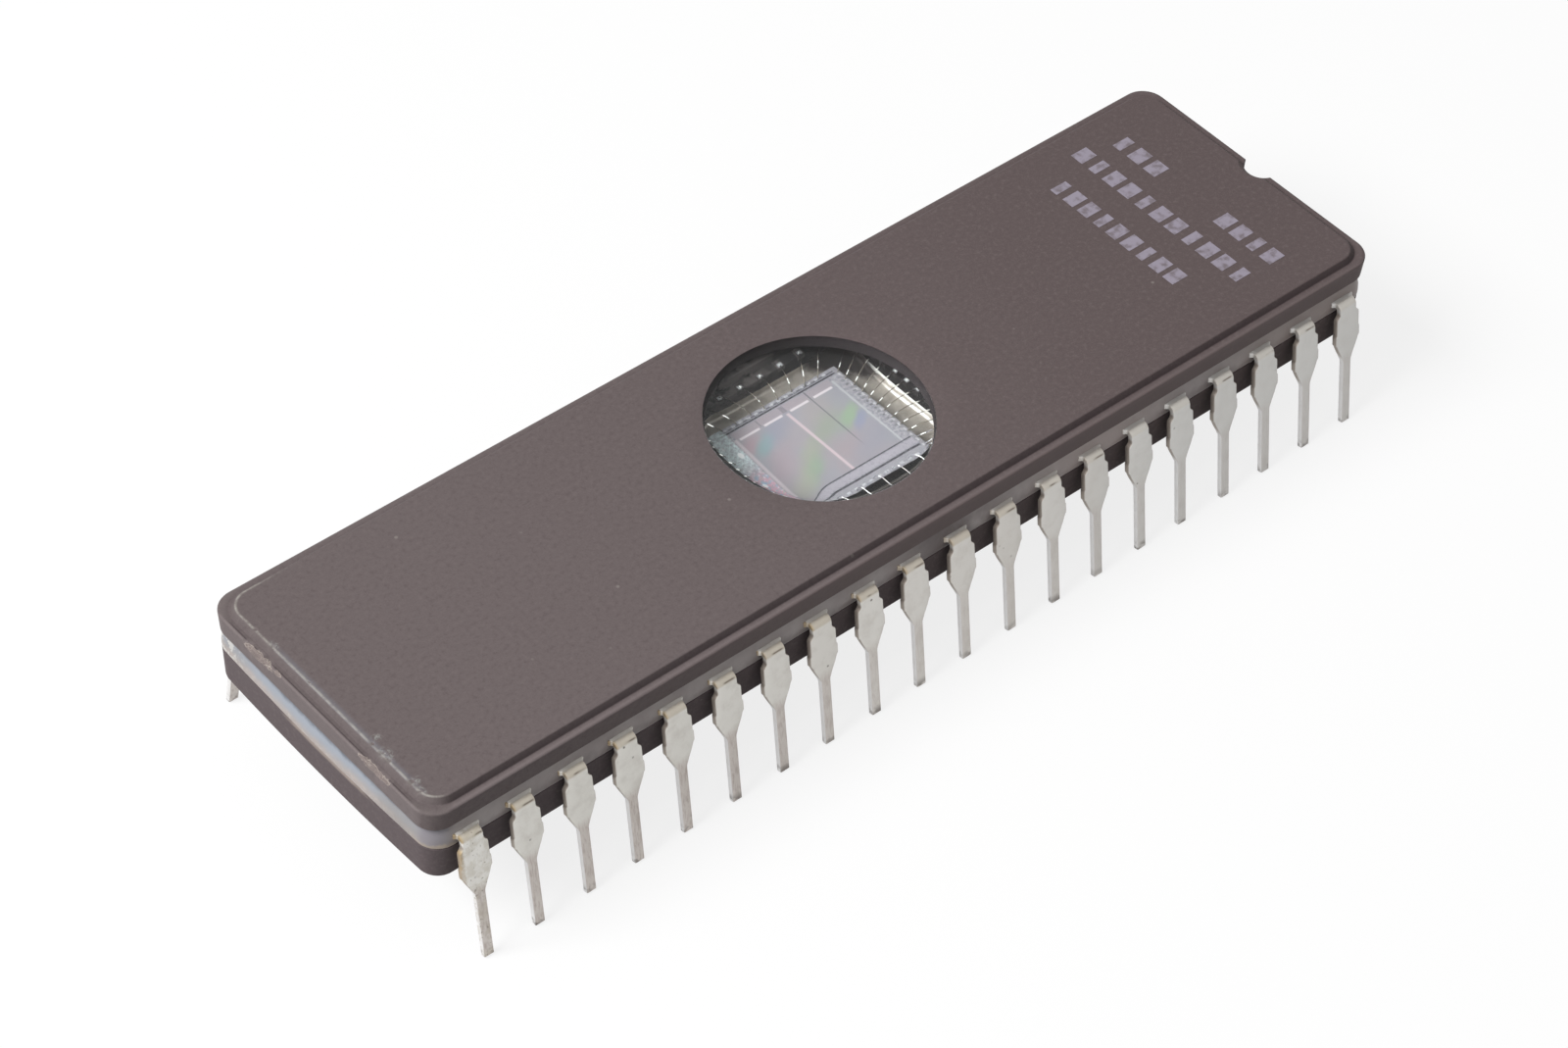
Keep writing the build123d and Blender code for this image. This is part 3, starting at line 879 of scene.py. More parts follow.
# %% Wire paths
WIRE_POINTS = 15
PAD_INSET, BOND_INSET = 0.15, 0.18
FAR_PAD_PITCH, NEAR_PAD_PITCH, SIDE_PAD_PITCH = 0.75, 0.98, 0.50
rng = np.random.default_rng(21)
wire_points, wire_edges, wire_glints = [], [], []
for i, place in enumerate(finger_places()):
    on_long_side = i < LONG_SIDE
    glint_at, glint_reach = (0.29, 0.11) if on_long_side else (0.14, 0.07)
    for flip_x, flip_y in ((1, 1), (-1, 1), (-1, -1), (1, -1)):
        if on_long_side:
            pad_pitch = NEAR_PAD_PITCH if flip_y < 0 else FAR_PAD_PITCH
            pad = np.array(((i + 0.5) * pad_pitch, half_y - PAD_INSET))
        else:
            pad = np.array((half_x - PAD_INSET, (ROW // 2 - i - 0.5) * SIDE_PAD_PITCH))
        pad = pad + rng.uniform(-0.05, 0.05, 2) * (1 if on_long_side else 0.8)
        end = np.array(place[:2]) + np.array(place[2:4]) * BOND_INSET
        start = len(wire_points)
        high, early = (0.36, 0.6) if on_long_side and flip_y < 0 else (0.20, 0.8)
        for t in np.linspace(0, 1, WIRE_POINTS):
            rise = math.sin(math.pi * min(t ** early, 1.0)) * high
            level = (DIE_TOP + 0.022) * (1 - t) + (FRAME_TOP + 0.022) * t
            at = pad * (1 - t) + end * t
            wire_points.append((at[0] * flip_x, at[1] * flip_y, level + rise))
            wire_glints.append(max(0.0, 1 - abs(t - glint_at) / glint_reach))
        wire_edges += [(k, k + 1) for k in range(start, start + WIRE_POINTS - 1)]
path_mesh = bpy.data.meshes.new("wire_paths")
path_mesh.from_pydata((np.array(wire_points) * MM).tolist(), wire_edges, [])
count = len(wire_points) // WIRE_POINTS
paint(path_mesh, "along_wire", np.tile(np.linspace(0, 1, WIRE_POINTS), count))
paint(path_mesh, "glint", wire_glints)
paths = stand("wire_paths", path_mesh)
print("wires", count)

# %% Aluminium for the wires
aluminium = Finish("bond_aluminium")
x, y = aluminium.x, aluminium.y
sheen = aluminium.grain(20.0, 2.0)
along_wire = aluminium.attribute("along_wire")
near = y.ramp(-3.0, -3.2) * abs(x).ramp(3.6, 3.4)
some = aluminium.grain(1.6, 2.0).ramp(0.36, 0.50)
# Painted glints: short bright stretches along each wire and at its finger end, which also glow by emission.
glint = aluminium.attribute("glint").ramp(0.15, 0.45) * some + along_wire.ramp(0.90, 0.94) * some
in_shade = (x + 0.9 * y).ramp(6.0, 6.8)
near_glint = near * along_wire.band(0.58, 0.22, 0.08) * (0.35 + 0.6 * some)
drawn = 1.0 - (glint * (1.0 - 0.6 * in_shade * y.ramp(3.2, 3.6))).most(near_glint).least(1.0)
aluminium.tone = aluminium.blend((232, 233, 234), (250, 250, 248), sheen)
# Off the glints the wire is painted, not silver: dark as painted shade, in the floor's tone over the floor,
# white as painted highlight over the floor's painted highlight, grey over the die's border.
over_floor = abs(y).ramp(3.90, 3.70) * abs(x).ramp(4.9, 4.7) * (1.0 - in_shade)
over_highlight = x.band(4.64, 0.12, 0.06) * y.ramp(2.3, 2.0) * y.ramp(-1.9, -1.6)
painted_wire_tone = aluminium.blend((42, 36, 36), (126, 119, 108), over_floor)
painted_wire_tone = aluminium.blend(painted_wire_tone, (250, 248, 240), over_highlight)
painted_wire_tone = aluminium.blend(painted_wire_tone, (160, 158, 166), y.ramp(-2.0, -2.5) * along_wire.ramp(0.40, 0.34))
aluminium.set(Base_Color=aluminium.blend(aluminium.tone, painted_wire_tone, drawn), Metallic=0.9 - 0.8 * drawn,
              Roughness=0.22 + 0.12 * sheen + 0.4 * drawn, Emission_Strength=0.9, Specular_IOR_Level=0.15,
              Emission_Color=aluminium.blend((0, 0, 0), (255, 255, 250), 1.0 - drawn))
aluminium.bump(sheen, 0.004, 0.5)

# %% Give the wires thickness and feet
graph, source, wire_inputs = geometry_tree("bond_wires", {
    "Wire radius": FLOAT, "Foot length": FLOAT, "Aluminium": MATERIAL})
curve = graph.add("GeometryNodeMeshToCurve", values={"Mesh": source["Geometry"]})
ring = graph.add("GeometryNodeCurvePrimitiveCircle", {"mode": "RADIUS"}, {
    "Resolution": 8, "Radius": source["Wire radius"]})
tube = graph.add("GeometryNodeCurveToMesh", values={"Curve": curve, "Profile Curve": ring, "Fill Caps": True})
ends = graph.add("GeometryNodeCurveEndpointSelection", values={"Start Size": 1, "End Size": 1})
foot = graph.add("GeometryNodeMeshUVSphere", values={
    "Segments": 12, "Rings": 8, "Radius": source["Foot length"]})
flat_foot = graph.add("GeometryNodeTransform", values={"Geometry": foot, "Scale": (1.0, 1.0, 0.38)})
feet = graph.add("GeometryNodeInstanceOnPoints", values={
    "Points": graph.add("GeometryNodeCurveToPoints", {"mode": "EVALUATED"}, {"Curve": curve}),
    "Selection": ends, "Instance": flat_foot})
joined = graph.add("GeometryNodeJoinGeometry")
for part in (tube, feet):
    graph.tree.links.new(part.socket, joined.socket.node.inputs[0])
close_tree(graph, joined, source["Aluminium"], smooth=True)
wires = run_tree("bond_wires", paths, graph, wire_inputs, {
    "Wire radius": 0.022 * MM, "Foot length": 0.060 * MM, "Aluminium": aluminium.material})
bpy.data.objects.remove(paths)
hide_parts("bond_wires_far", "bond_wires_near", "bond_wires_left", "bond_wires_right")
tell(wires)

# %% [markdown]
# ## The marking
#
# The real lid is printed near the notch. This part carries no lettering, so the place holds plain
# printed bars, three rows across the lid. Each bar is a point with a length, and Geometry Nodes set
# a thin block on it.

# %% Bars of ink
bar_rows = ((17.8, 4.7, -3.4, 9), (20.1, 5.7, -5.1, 11), (22.05, 5.2, 2.1, 3), (22.05, -1.3, -5.1, 4))
bar_points, bar_widths = [], []
for x, start, stop, count in bar_rows:
    pitch = (start - stop) / count
    for k in range(count):
        bar_points.append((x, start - (k + 0.5) * pitch, PLATEAU + INK / 2))
        bar_widths.append(pitch * (0.72 if (k * 7 + count) % 3 else 0.46))
mesh = bpy.data.meshes.new("bar_places")
mesh.from_pydata((np.array(bar_points) * MM).tolist(), [], [])
paint(mesh, "bar_width", np.array(bar_widths) * MM)
bars = stand("bar_places", mesh)

ink = Finish("pale_ink")
thin = ink.grain(3.0, 3.0, 0.5)
ink.set(Base_Color=ink.blend((164, 156, 170), (112, 101, 102), thin.ramp(0.42, 0.72) * 0.7),
        Roughness=0.6 + 0.1 * thin, Specular_IOR_Level=0.25)
ink.bump(thin, 0.006, 0.5)

graph, source, bar_inputs = geometry_tree("ink_bars", {
    "Bar height": FLOAT, "Ink thickness": FLOAT, "Ink": MATERIAL})
width = graph.add("GeometryNodeInputNamedAttribute", {"data_type": "FLOAT"}, {"Name": "bar_width"})
block = graph.add("GeometryNodeMeshCube", values={"Size": (1.0, 1.0, 1.0)})
set_down = graph.add("GeometryNodeInstanceOnPoints", values={
    "Points": graph.add("GeometryNodeMeshToPoints", values={"Mesh": source["Geometry"]}), "Instance": block,
    "Scale": graph.add("ShaderNodeCombineXYZ", values={
        "X": source["Bar height"], "Y": width, "Z": source["Ink thickness"]})})
close_tree(graph, set_down, source["Ink"])
marking = run_tree("marking_bars", bars, graph, bar_inputs, {
    "Bar height": 0.92 * MM, "Ink thickness": INK * MM, "Ink": ink.material})
bpy.data.objects.remove(bars)
tell(marking)

# %% [markdown]
# ## Ceramic
#
# The ceramic is a matt brown-grey. It is greyer towards the left end and browner towards the notch,
# with a very fine grain and a few pale specks of dust. Bare chips are pinkish and rough, worn edges
# are cream. The same recipe serves lid and base, so it is a function.

# %% The ceramic finish
def ceramic(name, left, right, worn):
    finish = Finish(name)
    x, y, z = finish.x, finish.y, finish.z
    fine = finish.grain(14.0, 3.0, 0.6)
    broad = finish.grain(0.16, 3.0, 0.5)
    finish.tone = finish.blend(left, right, (x + 9.0 * (broad - 0.5)).ramp(-20.0, 22.0))
    finish.over((140, 128, 126), fine.ramp(0.45, 0.95) * 0.35)
    finish.over((84, 72, 73), fine.ramp(0.50, 0.12) * 0.35)
    clumps = finish.grain(4.5, 3.0, 0.6)
    finish.over((124, 113, 112), clumps.ramp(0.50, 0.75) * 0.4)
    finish.over((92, 81, 82), clumps.ramp(0.50, 0.28) * 0.4)
    dust = finish.cells(0.55).ramp(0.055, 0.03) * finish.grain(0.35).ramp(0.50, 0.56)
    finish.over((150, 142, 138), dust * 0.55)
    height = 0.5 * fine
    if worn:
        patchy = finish.grain(3.2, 5.0, 0.7)
        rubbed = finish.attribute("edge_wear") * (0.35 + 0.65 * patchy.ramp(0.35, 0.62))
        shade_in_hole = (x * x + y * y).math("SQRT").ramp(PANE_RADIUS + 0.02, PANE_RADIUS)
        shade_under_top = z.ramp(PLATEAU - 0.03, PLATEAU - 0.08) * abs(x).ramp(7.5, 7.0) * abs(y).ramp(6.4, 6.2)
        over_rim = x - end_x + z - RIM
        shards = finish.grain(3.0, 4.0, 0.65, shift=(2.0, 0.0, 5.0))
        broken, crust = 0.0, 0.0
        for middle, half, low, tall in (
                (3.80, 0.95, -0.10, 0.27), (-3.70, 0.95, -0.06, 0.23), (2.55, 0.22, -0.04, 0.16)):
            across, down = (y - middle) / half, (over_rim - low) / tall
            away = (across * across + down * down).math("SQRT") + 2.0 * (shards - 0.5)
            broken = away.ramp(0.95, 0.80).most(broken)
            crust = (away.band(0.82, 0.05, 0.08) + 0.6 * away.band(0.42, 0.04, 0.07)).most(crust)
        crust = crust * (0.45 + 0.55 * finish.grain(4.0, 2.0, 0.5).ramp(0.38, 0.58))
        # Painted shade of a groove along the left end's ledge.
        groove_shade = x.band(end_x + 0.13, 0.03, 0.04) * z.ramp(RIM - 0.05, RIM - 0.02) * abs(y).ramp(6.2, 5.4)
        # Painted light on the left end's wall and the outer edge of its ledge.
        lit_end_side = x.ramp(end_x + 0.14, end_x + 0.09) * z.ramp(RIM + 0.02, RIM - 0.02)
        halo = (x.ramp(-25.02, -25.28) * z.ramp(PLATEAU - 0.04, PLATEAU - 0.01)
                * y.band(-1.2, 4.6, 0.9) * (0.5 + patchy))
        smear = 0.0
        for at_x, at_y, reach_x, reach_y in (
                (-24.98, -2.7, 0.26, 0.22), (-25.16, -3.6, 0.30, 0.45), (-25.10, -5.35, 0.30, 0.24),
                (-25.22, -5.9, 0.16, 0.3), (-25.2, 3.6, 0.16, 0.3)):
            away_x, away_y = (x - at_x) / reach_x, (y - at_y) / reach_y
            smear = (away_x * away_x + away_y * away_y).math("SQRT").ramp(1.2, 0.2).most(smear)
        smear = smear * finish.grain(5.0, 5.0, 0.75, shift=(1.0, 6.0, 0.0)).ramp(0.44, 0.62)
        # Painted shade on the lid's step slope.
        finish.over((36, 25, 29), finish.attribute("foot_dirt") * 0.88)
        # Painted light on the ledge.
        finish.over((142, 131, 131), finish.attribute("ledge_light") * 0.55)
        finish.over((146, 152, 164), halo * 0.28)
        finish.over((176, 178, 174), smear * 0.6)
        finish.over((190, 186, 178), rubbed * 0.75)
        finish.over((58, 48, 51), groove_shade * (1.0 - broken) * (0.5 + 0.4 * patchy))
        finish.over((136, 126, 126), lit_end_side * 0.3)
        # Painted light on the near side wall, growing from the left towards the middle and up the wall.
        lit_near_wall = y.ramp(-LID_HALF[1] + 0.14, -LID_HALF[1] + 0.09) * z.ramp(RIM + 0.02, RIM - 0.04)
        finish.over((124, 111, 110), lit_near_wall * x.ramp(-22.0, 0.0) * (0.65 + 0.3 * z.ramp(7.6, 7.9)))
        finish.over((148, 133, 126), broken * 0.36)
        finish.over((212, 202, 190), crust * 0.60)
        # Painted shade on the wall of the window's hole and under the lid's top, round the recess.
        finish.over((44, 38, 40), shade_under_top.most(shade_in_hole * z.ramp(PLATEAU + 0.5, PLATEAU - 0.02)))
        height = height + 0.8 * finish.attribute("bare") * finish.grain(9.0, 4.0, 0.7)
    finish.set(Base_Color=finish.tone, Roughness=0.58 + 0.12 * fine, Specular_IOR_Level=0.18)
    finish.bump(height, 0.012, 0.6)
    return finish


lid_ceramic = ceramic("lid_ceramic", (111, 101, 101), (99, 87, 87), True)
base_ceramic = ceramic("base_ceramic", (98, 88, 90), (90, 78, 77), False)

# %% The metallised floor of the cavity
x, y, z = base_ceramic.x, base_ceramic.y, base_ceramic.z
floor_mask = (z.ramp(BASE_TOP + 0.02, BASE_TOP - 0.03)
              * abs(x).ramp(5.14, 5.10) * abs(y).ramp(4.29, 4.25))
old_colour = Link(base_ceramic, base_ceramic.shader.socket.node.inputs["Base Color"].links[0].from_socket)
cloud = base_ceramic.grain(1.4, 4.0, 0.6)
gilt = base_ceramic.blend((200, 192, 182), (170, 162, 152), cloud.ramp(0.35, 0.7))
swing = base_ceramic.grain(1.3, 4.0, 0.6, stretch=(0.3, 1.0, 1.0)) - 0.5
ragged_x = x + 0.14 * swing
# Two painted highlights at the right end of the cavity: one on the floor by the wall, one at the cavity's top
# edge. Where they lie, the floor finish reaches a little up the wall.
low_painted_highlight = (ragged_x.band(5.02, 0.04, 0.03) * y.band(-0.25, 1.4, 0.6)
              * z.ramp(CAVITY_FLOOR + 0.2, CAVITY_FLOOR + 0.1))
high_painted_highlight = ((z + 0.4 * swing).band(BASE_TOP - 0.04, 0.13, 0.04) * x.ramp(5.0, 5.05)
               * y.band(0.5, 1.8, 0.6))
bright = low_painted_highlight.most(high_painted_highlight)
lid_shadow = (x + 0.9 * y + 0.8 * (cloud - 0.5)).ramp(6.2, 7.2).most(y.ramp(-3.2, -3.5))
gilt = base_ceramic.blend(gilt, (34, 24, 27), lid_shadow * 0.93)
gilt = base_ceramic.blend(gilt, (255, 255, 250), bright)
wide_mask = (z.ramp(BASE_TOP + 0.06, BASE_TOP + 0.02)
             * abs(x).ramp(5.24, 5.20) * abs(y).ramp(4.29, 4.25)) * bright
floor_mask = floor_mask.most(wide_mask)
top_edge = ((z + 0.12 * swing).ramp(BASE_TOP - 0.26, BASE_TOP - 0.10) * x.ramp(-25.5, -25.7)
            * (y + 2.0 * swing).band(-0.4, 2.6, 0.9))
old_colour = base_ceramic.blend(old_colour, (182, 168, 158), top_edge * 0.58)
base_ceramic.set(Base_Color=base_ceramic.blend(old_colour, gilt, floor_mask),
                 Metallic=0.4 * floor_mask, Roughness=0.62 - 0.34 * floor_mask + 0.1 * cloud)
for piece, finish, node in ((lid, lid_ceramic, "ceramic_lid"), (base, base_ceramic, "ceramic_base")):
    piece.data.materials.append(finish.material)
    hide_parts(node)

# %% [markdown]
# ## Glass that seals and glass that shows
#
# The seal is a devitrified glass: grey, nearly opaque, with a satin gloss, and a thin pinkish edge
# where it met the base. The pane is clear. For shadow rays it is mixed with Transparent, so that the
# lamps reach the die, as they do through the real one.

# %% The seal and the pane
glaze = Finish("seal_glass_grey")
x, y, z = glaze.x, glaze.y, glaze.z
cloud = glaze.grain(0.7, 4.0, 0.6)
fine = glaze.grain(9.0, 3.0)
left_end = x.ramp(-24.6, -25.5)
glaze.tone = glaze.blend((176, 166, 165), (194, 186, 184), cloud.ramp(0.3, 0.7))
height = (z - BASE_TOP) / (LID_BOTTOM - BASE_TOP)
glaze.over((104, 92, 92), (height + 0.8 * (cloud - 0.5)).ramp(0.55, 0.0) * 0.45)
glaze.over((96, 84, 84), (x + 4.0 * (cloud - 0.5)).band(0.4, 1.4, 1.6) * 0.75)
glaze.over((214, 198, 193), x.band(9.5, 3.0, 3.0) * 0.6)
glaze.over((178, 162, 156), x.ramp(15.0, 21.0) * 0.6)
end_tone = glaze.blend((174, 167, 164), (160, 167, 178), (height + 0.5 * (cloud - 0.5)).ramp(0.15, 0.70))
end_tone = glaze.blend(end_tone, (148, 142, 138), y.ramp(-2.8, -4.8).most(0.6 * y.ramp(3.5, 5.5)) * 0.6)
glaze.over(end_tone, left_end * 0.95)
uneven = glaze.grain(1.6, 4.0, 0.6)
lumps = glaze.grain(3.6, 4.0, 0.65)
low_edge = (height + 0.7 * (uneven - 0.5) + 0.4 * (lumps - 0.5)).ramp(0.46, 0.14)
low_edge = low_edge * (0.35 + 0.65 * y.ramp(-4.6, -2.8))
glaze.over((184, 173, 168), low_edge * left_end * 0.75)
glaze.over((204, 196, 188), low_edge * left_end * lumps.ramp(0.50, 0.62) * 0.6)
far_corner = left_end * y.ramp(4.6, 6.4) * lumps.ramp(0.48, 0.56)
glaze.over((222, 220, 214), far_corner * 0.8)
# Painted shade under the lid's overhang, at the top of the glass on the left end.
glaze.over((98, 102, 112), (height + 0.3 * (uneven - 0.5)).ramp(0.68, 0.94) * left_end * 0.9)
glaze.over((146, 141, 148), y.ramp(-5.9, -6.6) * x.ramp(-24.4, -25.4) * 0.8)
corner_edge = y.ramp(-5.6, -6.6) * left_end.most(x.ramp(-24.0, -25.0))
glaze.over((190, 174, 156), corner_edge * (height + 0.5 * (lumps - 0.5)).ramp(0.30, 0.08) * 0.8)
# Painted shade: inside the package the glass is near black, with painted light on part of the far shelf.
shaded_inside = abs(x).ramp(8.0, 6.5) * abs(y).ramp(6.0, 5.2)
lit_far_shelf = y.ramp(4.2, 4.3) * x.band(-0.6, 1.6, 1.4) * uneven.ramp(0.35, 0.55)
glaze.over(glaze.blend((16, 11, 13), (104, 97, 95), lit_far_shelf), shaded_inside)
glaze.set(Base_Color=glaze.tone, Roughness=0.36 + 0.12 * fine + 0.4 * shaded_inside, Specular_IOR_Level=0.35)
glaze.bump((0.7 * cloud + 0.3 * fine + 0.5 * lumps * left_end) * (1.0 - shaded_inside), 0.02, 0.5)
seal.data.materials.append(glaze.material)
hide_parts("seal_glass")

clear = Finish("window_glass")
haze = clear.grain(0.6, 4.0, 0.6)
clear.set(Base_Color=clear.blend((250, 252, 252), (240, 243, 244), haze), Roughness=0.0,
          IOR=1.46, Transmission_Weight=1.0, Specular_Tint=(0.25, 0.25, 0.25, 1.0))
rays = clear.add("ShaderNodeLightPath", output="Is Shadow Ray")
see_through = clear.add("ShaderNodeBsdfTransparent")
clear.tree.links.new(clear.add("ShaderNodeMixShader", values={0: rays, 1: clear.shader, 2: see_through}).socket,
                     clear.end.inputs["Surface"])
pane.data.materials.append(clear.material)
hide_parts("uv_window")

# %% [markdown]
# ## The silicon
#
# The die is a map drawn in light: two memory halves of four blocks, bright strips of decoders, a
# frame of pads, and the thin films above it that split white light into pale pinks, greens and blues.
# It is drawn with soft bands across x and y, in the die's own millimetres.

# %% The die's pattern
silicon = Finish("patterned_silicon")
x, y = silicon.x, silicon.y
swirl = silicon.grain(0.55, 2.0, 0.5)
bend_x = x + 0.8 * (swirl - 0.5)
bend_y = y + 0.8 * (silicon.grain(0.6, 2.0, 0.5, shift=(4.0, 9.0, 0.0)) - 0.5)


def patch(at_x, at_y, reach):
    """A soft patch of colour from the thin films, drawn out along a slant."""
    across, up = bend_x - at_x, bend_y - at_y
    along, aside = 0.40 * across + 0.34 * up, 0.95 * up - 0.75 * across
    return (along * along + aside * aside).math("SQRT").ramp(reach, 0.1)


film = silicon.blend((178, 177, 184), (184, 177, 183), swirl.ramp(0.4, 0.6))
for at_x, at_y, reach, tint, amount in (
        (-2.3, 1.6, 0.60, (198, 166, 174), 0.6), (-1.7, 1.3, 0.65, (150, 184, 186), 0.8),
        (-0.7, 1.75, 1.0, (166, 170, 188), 0.6), (-1.8, 0.0, 1.0, (188, 170, 178), 0.6),
        (-0.6, -0.3, 0.8, (180, 184, 164), 0.7), (-1.0, -1.1, 0.8, (162, 188, 160), 0.7),
        (-1.9, -1.5, 0.9, (186, 188, 168), 0.6), (1.0, 0.5, 1.1, (172, 182, 162), 0.7),
        (1.2, 1.6, 1.0, (186, 180, 176), 0.5), (2.2, 0.5, 0.70, (164, 194, 154), 0.75),
        (2.35, -0.05, 0.45, (160, 168, 198), 0.7), (1.0, -0.9, 1.0, (188, 172, 176), 0.6),
        (2.1, -1.1, 1.2, (174, 172, 184), 0.6)):
    film = silicon.blend(film, tint, patch(at_x, at_y, reach) * amount)

sag = (-1.1 - x).most(0.0)
low_y = y + 0.32 * sag * sag
left_x = x - 0.055 * (y - 2.1)
grit = silicon.grain(6.0, 4.0, 0.7)
border = silicon.blend((160, 158, 166), (200, 198, 204), grit.ramp(0.35, 0.65))
border = silicon.blend(border, (192, 186, 192), silicon.grain(2.2, 3.0, 0.6).ramp(0.5, 0.7) * 0.5)
border = silicon.blend(border, (164, 160, 164), x.ramp(3.40, 3.50) * 0.7)
in_array = left_x.ramp(-2.56, -2.50) * x.ramp(2.89, 2.84) * y.ramp(2.74, 2.70) * low_y.ramp(-2.06, -2.00)
silicon.tone = silicon.blend(border, film, in_array)
line = lambda across, at, half: across.band(at, half, 0.02)
decoders = y.band(2.48, 0.20, 0.03) * in_array
silicon.over((190, 176, 182), decoders * 0.6)
gaps = line(x, -1.17, 0.04) + line(x, 1.55, 0.04) + line(x, 0.18, 0.12)
silicon.over((146, 142, 150), decoders * gaps * 0.7)
for left, right in ((-2.39, -1.30), (-1.05, -0.05), (0.40, 1.40), (1.70, 2.73)):
    middle, half = (left + right) / 2, (right - left) / 2
    silicon.over((244, 234, 238), x.band(middle, half, 0.02) * line(y, 2.215, 0.065))
spine = (x + 0.015 * y).band(0.22, 0.07, 0.05) * y.ramp(2.2, 2.14) * low_y.ramp(-2.06, -2.0)
silicon.over((232, 212, 218), spine)
silicon.over((128, 128, 134), line(x, 1.55, 0.03) * y.ramp(2.75, 2.7) * y.ramp(-1.6, 0.2) * 0.9)
silicon.over((226, 214, 220), left_x.band(-2.58, 0.08, 0.06) * y.band(0.2, 2.1, 0.05))
silicon.over((208, 208, 212), line(x, 2.97, 0.05) * y.band(0.2, 2.3, 0.05))
for across, at, half, tint in (
        (y, 2.80, 0.045, (62, 60, 68)), (y, 2.93, 0.05, (120, 118, 126)), (low_y, -2.04, 0.035, (80, 78, 88)),
        (low_y, -2.60, 0.055, (74, 72, 80)), (low_y, -2.30, 0.17, (196, 190, 200)),
        (low_y, -2.82, 0.12, (182, 180, 186))):
    silicon.over(tint, line(across, at, half) * x.band(0.1, 3.3, 0.05) * (0.65 + 0.35 * grit.ramp(0.4, 0.5)))
knots = silicon.math("PINGPONG", y + 0.2 * grit, 0.13).ramp(0.07, 0.05) * y.band(0.6, 1.9, 0.1)
silicon.over((92, 90, 98), x.band(3.36, 0.08, 0.03) * knots * grit.ramp(0.42, 0.56) * 0.75)
silicon.over((206, 206, 210), x.band(3.55, 0.04, 0.02) * knots * 0.5)
every_x, every_y = silicon.math("PINGPONG", x + 0.02, 0.21), silicon.math("PINGPONG", y + 0.05, 0.19)
pad_row_y = abs(y).band(2.98, 0.06, 0.015) * every_x.ramp(0.11, 0.09) * x.band(0.0, 3.1, 0.02)
pad_row_x = abs(x).band(3.50, 0.05, 0.015) * every_y.ramp(0.10, 0.08) * y.band(0.0, 2.8, 0.02)
pads = pad_row_y.most(pad_row_x)
silicon.over((240, 240, 244), pads * grit.ramp(0.3, 0.6) * 0.75)
lively = silicon.grain(3.4, 3.0, 0.6, shift=(2.0, 2.0, 0.0))
shimmer = silicon.add("ShaderNodeValToRGB", {"stops": [
    (0.32, shade(138, 188, 226)), (0.45, shade(190, 184, 196)),
    (0.56, shade(236, 168, 192)), (0.70, shade(160, 218, 190))]},
    {"Fac": lively}, output="Color")
left_side = left_x.ramp(-2.66, -2.76)
silicon.over(shimmer, left_side * y.ramp(0.9, -0.6) * 0.8)
# Painted light on the left strip, against the lid's shadow that falls on it; its white bits, dashes and sparks
# are painted glints.
silicon.over((214, 230, 230), left_side * y.ramp(0.2, 1.2) * (0.4 + 0.6 * grit.ramp(0.42, 0.55)) * 0.8)
silicon.over((250, 250, 252), left_side * grit.ramp(0.60, 0.66) * 0.8)
glint_dashes = silicon.math("PINGPONG", y - 1.1 * x, 0.14).ramp(0.09, 0.12) * left_side * y.band(1.9, 1.0, 0.2)
silicon.over((226, 240, 240), glint_dashes * grit.ramp(0.40, 0.55) * 0.7)
glint_sparks = silicon.cells(1.7, stretch=(1.0, 0.7, 1.0)).ramp(0.26, 0.16) * left_side
silicon.over((255, 255, 255), glint_sparks * 0.9)
sawn = silicon.z.ramp(DIE_TOP - 0.012, DIE_TOP - 0.03)
silicon.over((70, 70, 76), sawn)
# The die is darkened by a quarter, all but the left strip, which keeps its painted light.
silicon.over((0, 0, 0), 0.25 * (1.0 - left_side * 0.95))
silicon.set(Base_Color=silicon.tone, Metallic=0.15, Roughness=0.34 + 0.15 * sawn, Specular_IOR_Level=0.35)
silicon.bump(0.3 * grit * (1.0 - in_array) + 0.5 * pads, 0.004, 0.5)
die_piece.data.materials.append(silicon.material)
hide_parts("die")

# %% [markdown]
# ## Paste and fingers
#
# The die's bonding layer keeps its own solid and only gets a finish. The fingers are plain lead
# metal whose last millimetre is coated with aluminium, which is why their tips glint. The rest of
# each finger is painted near black as painted shade under the lid, with painted light on part of
# the far shelf.

# %% Two small finishes
paste = Finish("bond_paste")
crumb = paste.grain(8.0, 4.0, 0.7)
paste.set(Base_Color=paste.blend((96, 92, 90), (128, 122, 116), crumb), Roughness=0.6 + 0.2 * crumb)
paste.bump(crumb, 0.02, 0.7)
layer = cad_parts["die_attach"]
layer.data.materials.clear()
layer.data.materials.append(paste.material)

coated = Finish("finger_metal")
x, y = coated.x, coated.y
brush = coated.grain(7.0, 3.0, 0.6)
reach = 0.10 * (brush - 0.5)
every_x = coated.math("PINGPONG", x + reach, LONG_PITCH / 2).ramp(0.40, 0.47)
every_y = coated.math("PINGPONG", y + reach, SHORT_PITCH / 2).ramp(0.22, 0.28)
on_short = abs(x).band(CAVITY_HALF[0] + 0.14, 0.09, 0.05) * every_y
on_long = abs(y).band(CAVITY_HALF[1] + 0.14, 0.09, 0.05) * every_x
near_tip = on_short * abs(y).ramp(4.0, 3.9) + on_long * abs(x).ramp(4.2, 4.1)
near_tip = near_tip * (0.15 + 0.85 * coated.grain(0.8, 2.0, shift=(0.0, 5.0, 0.0)).ramp(0.36, 0.56))
lit_shelf = y.band(CAVITY_HALF[1] + 0.22, 0.22, 0.08) * x.band(0.4, 2.6, 0.8) * brush.ramp(0.3, 0.6)
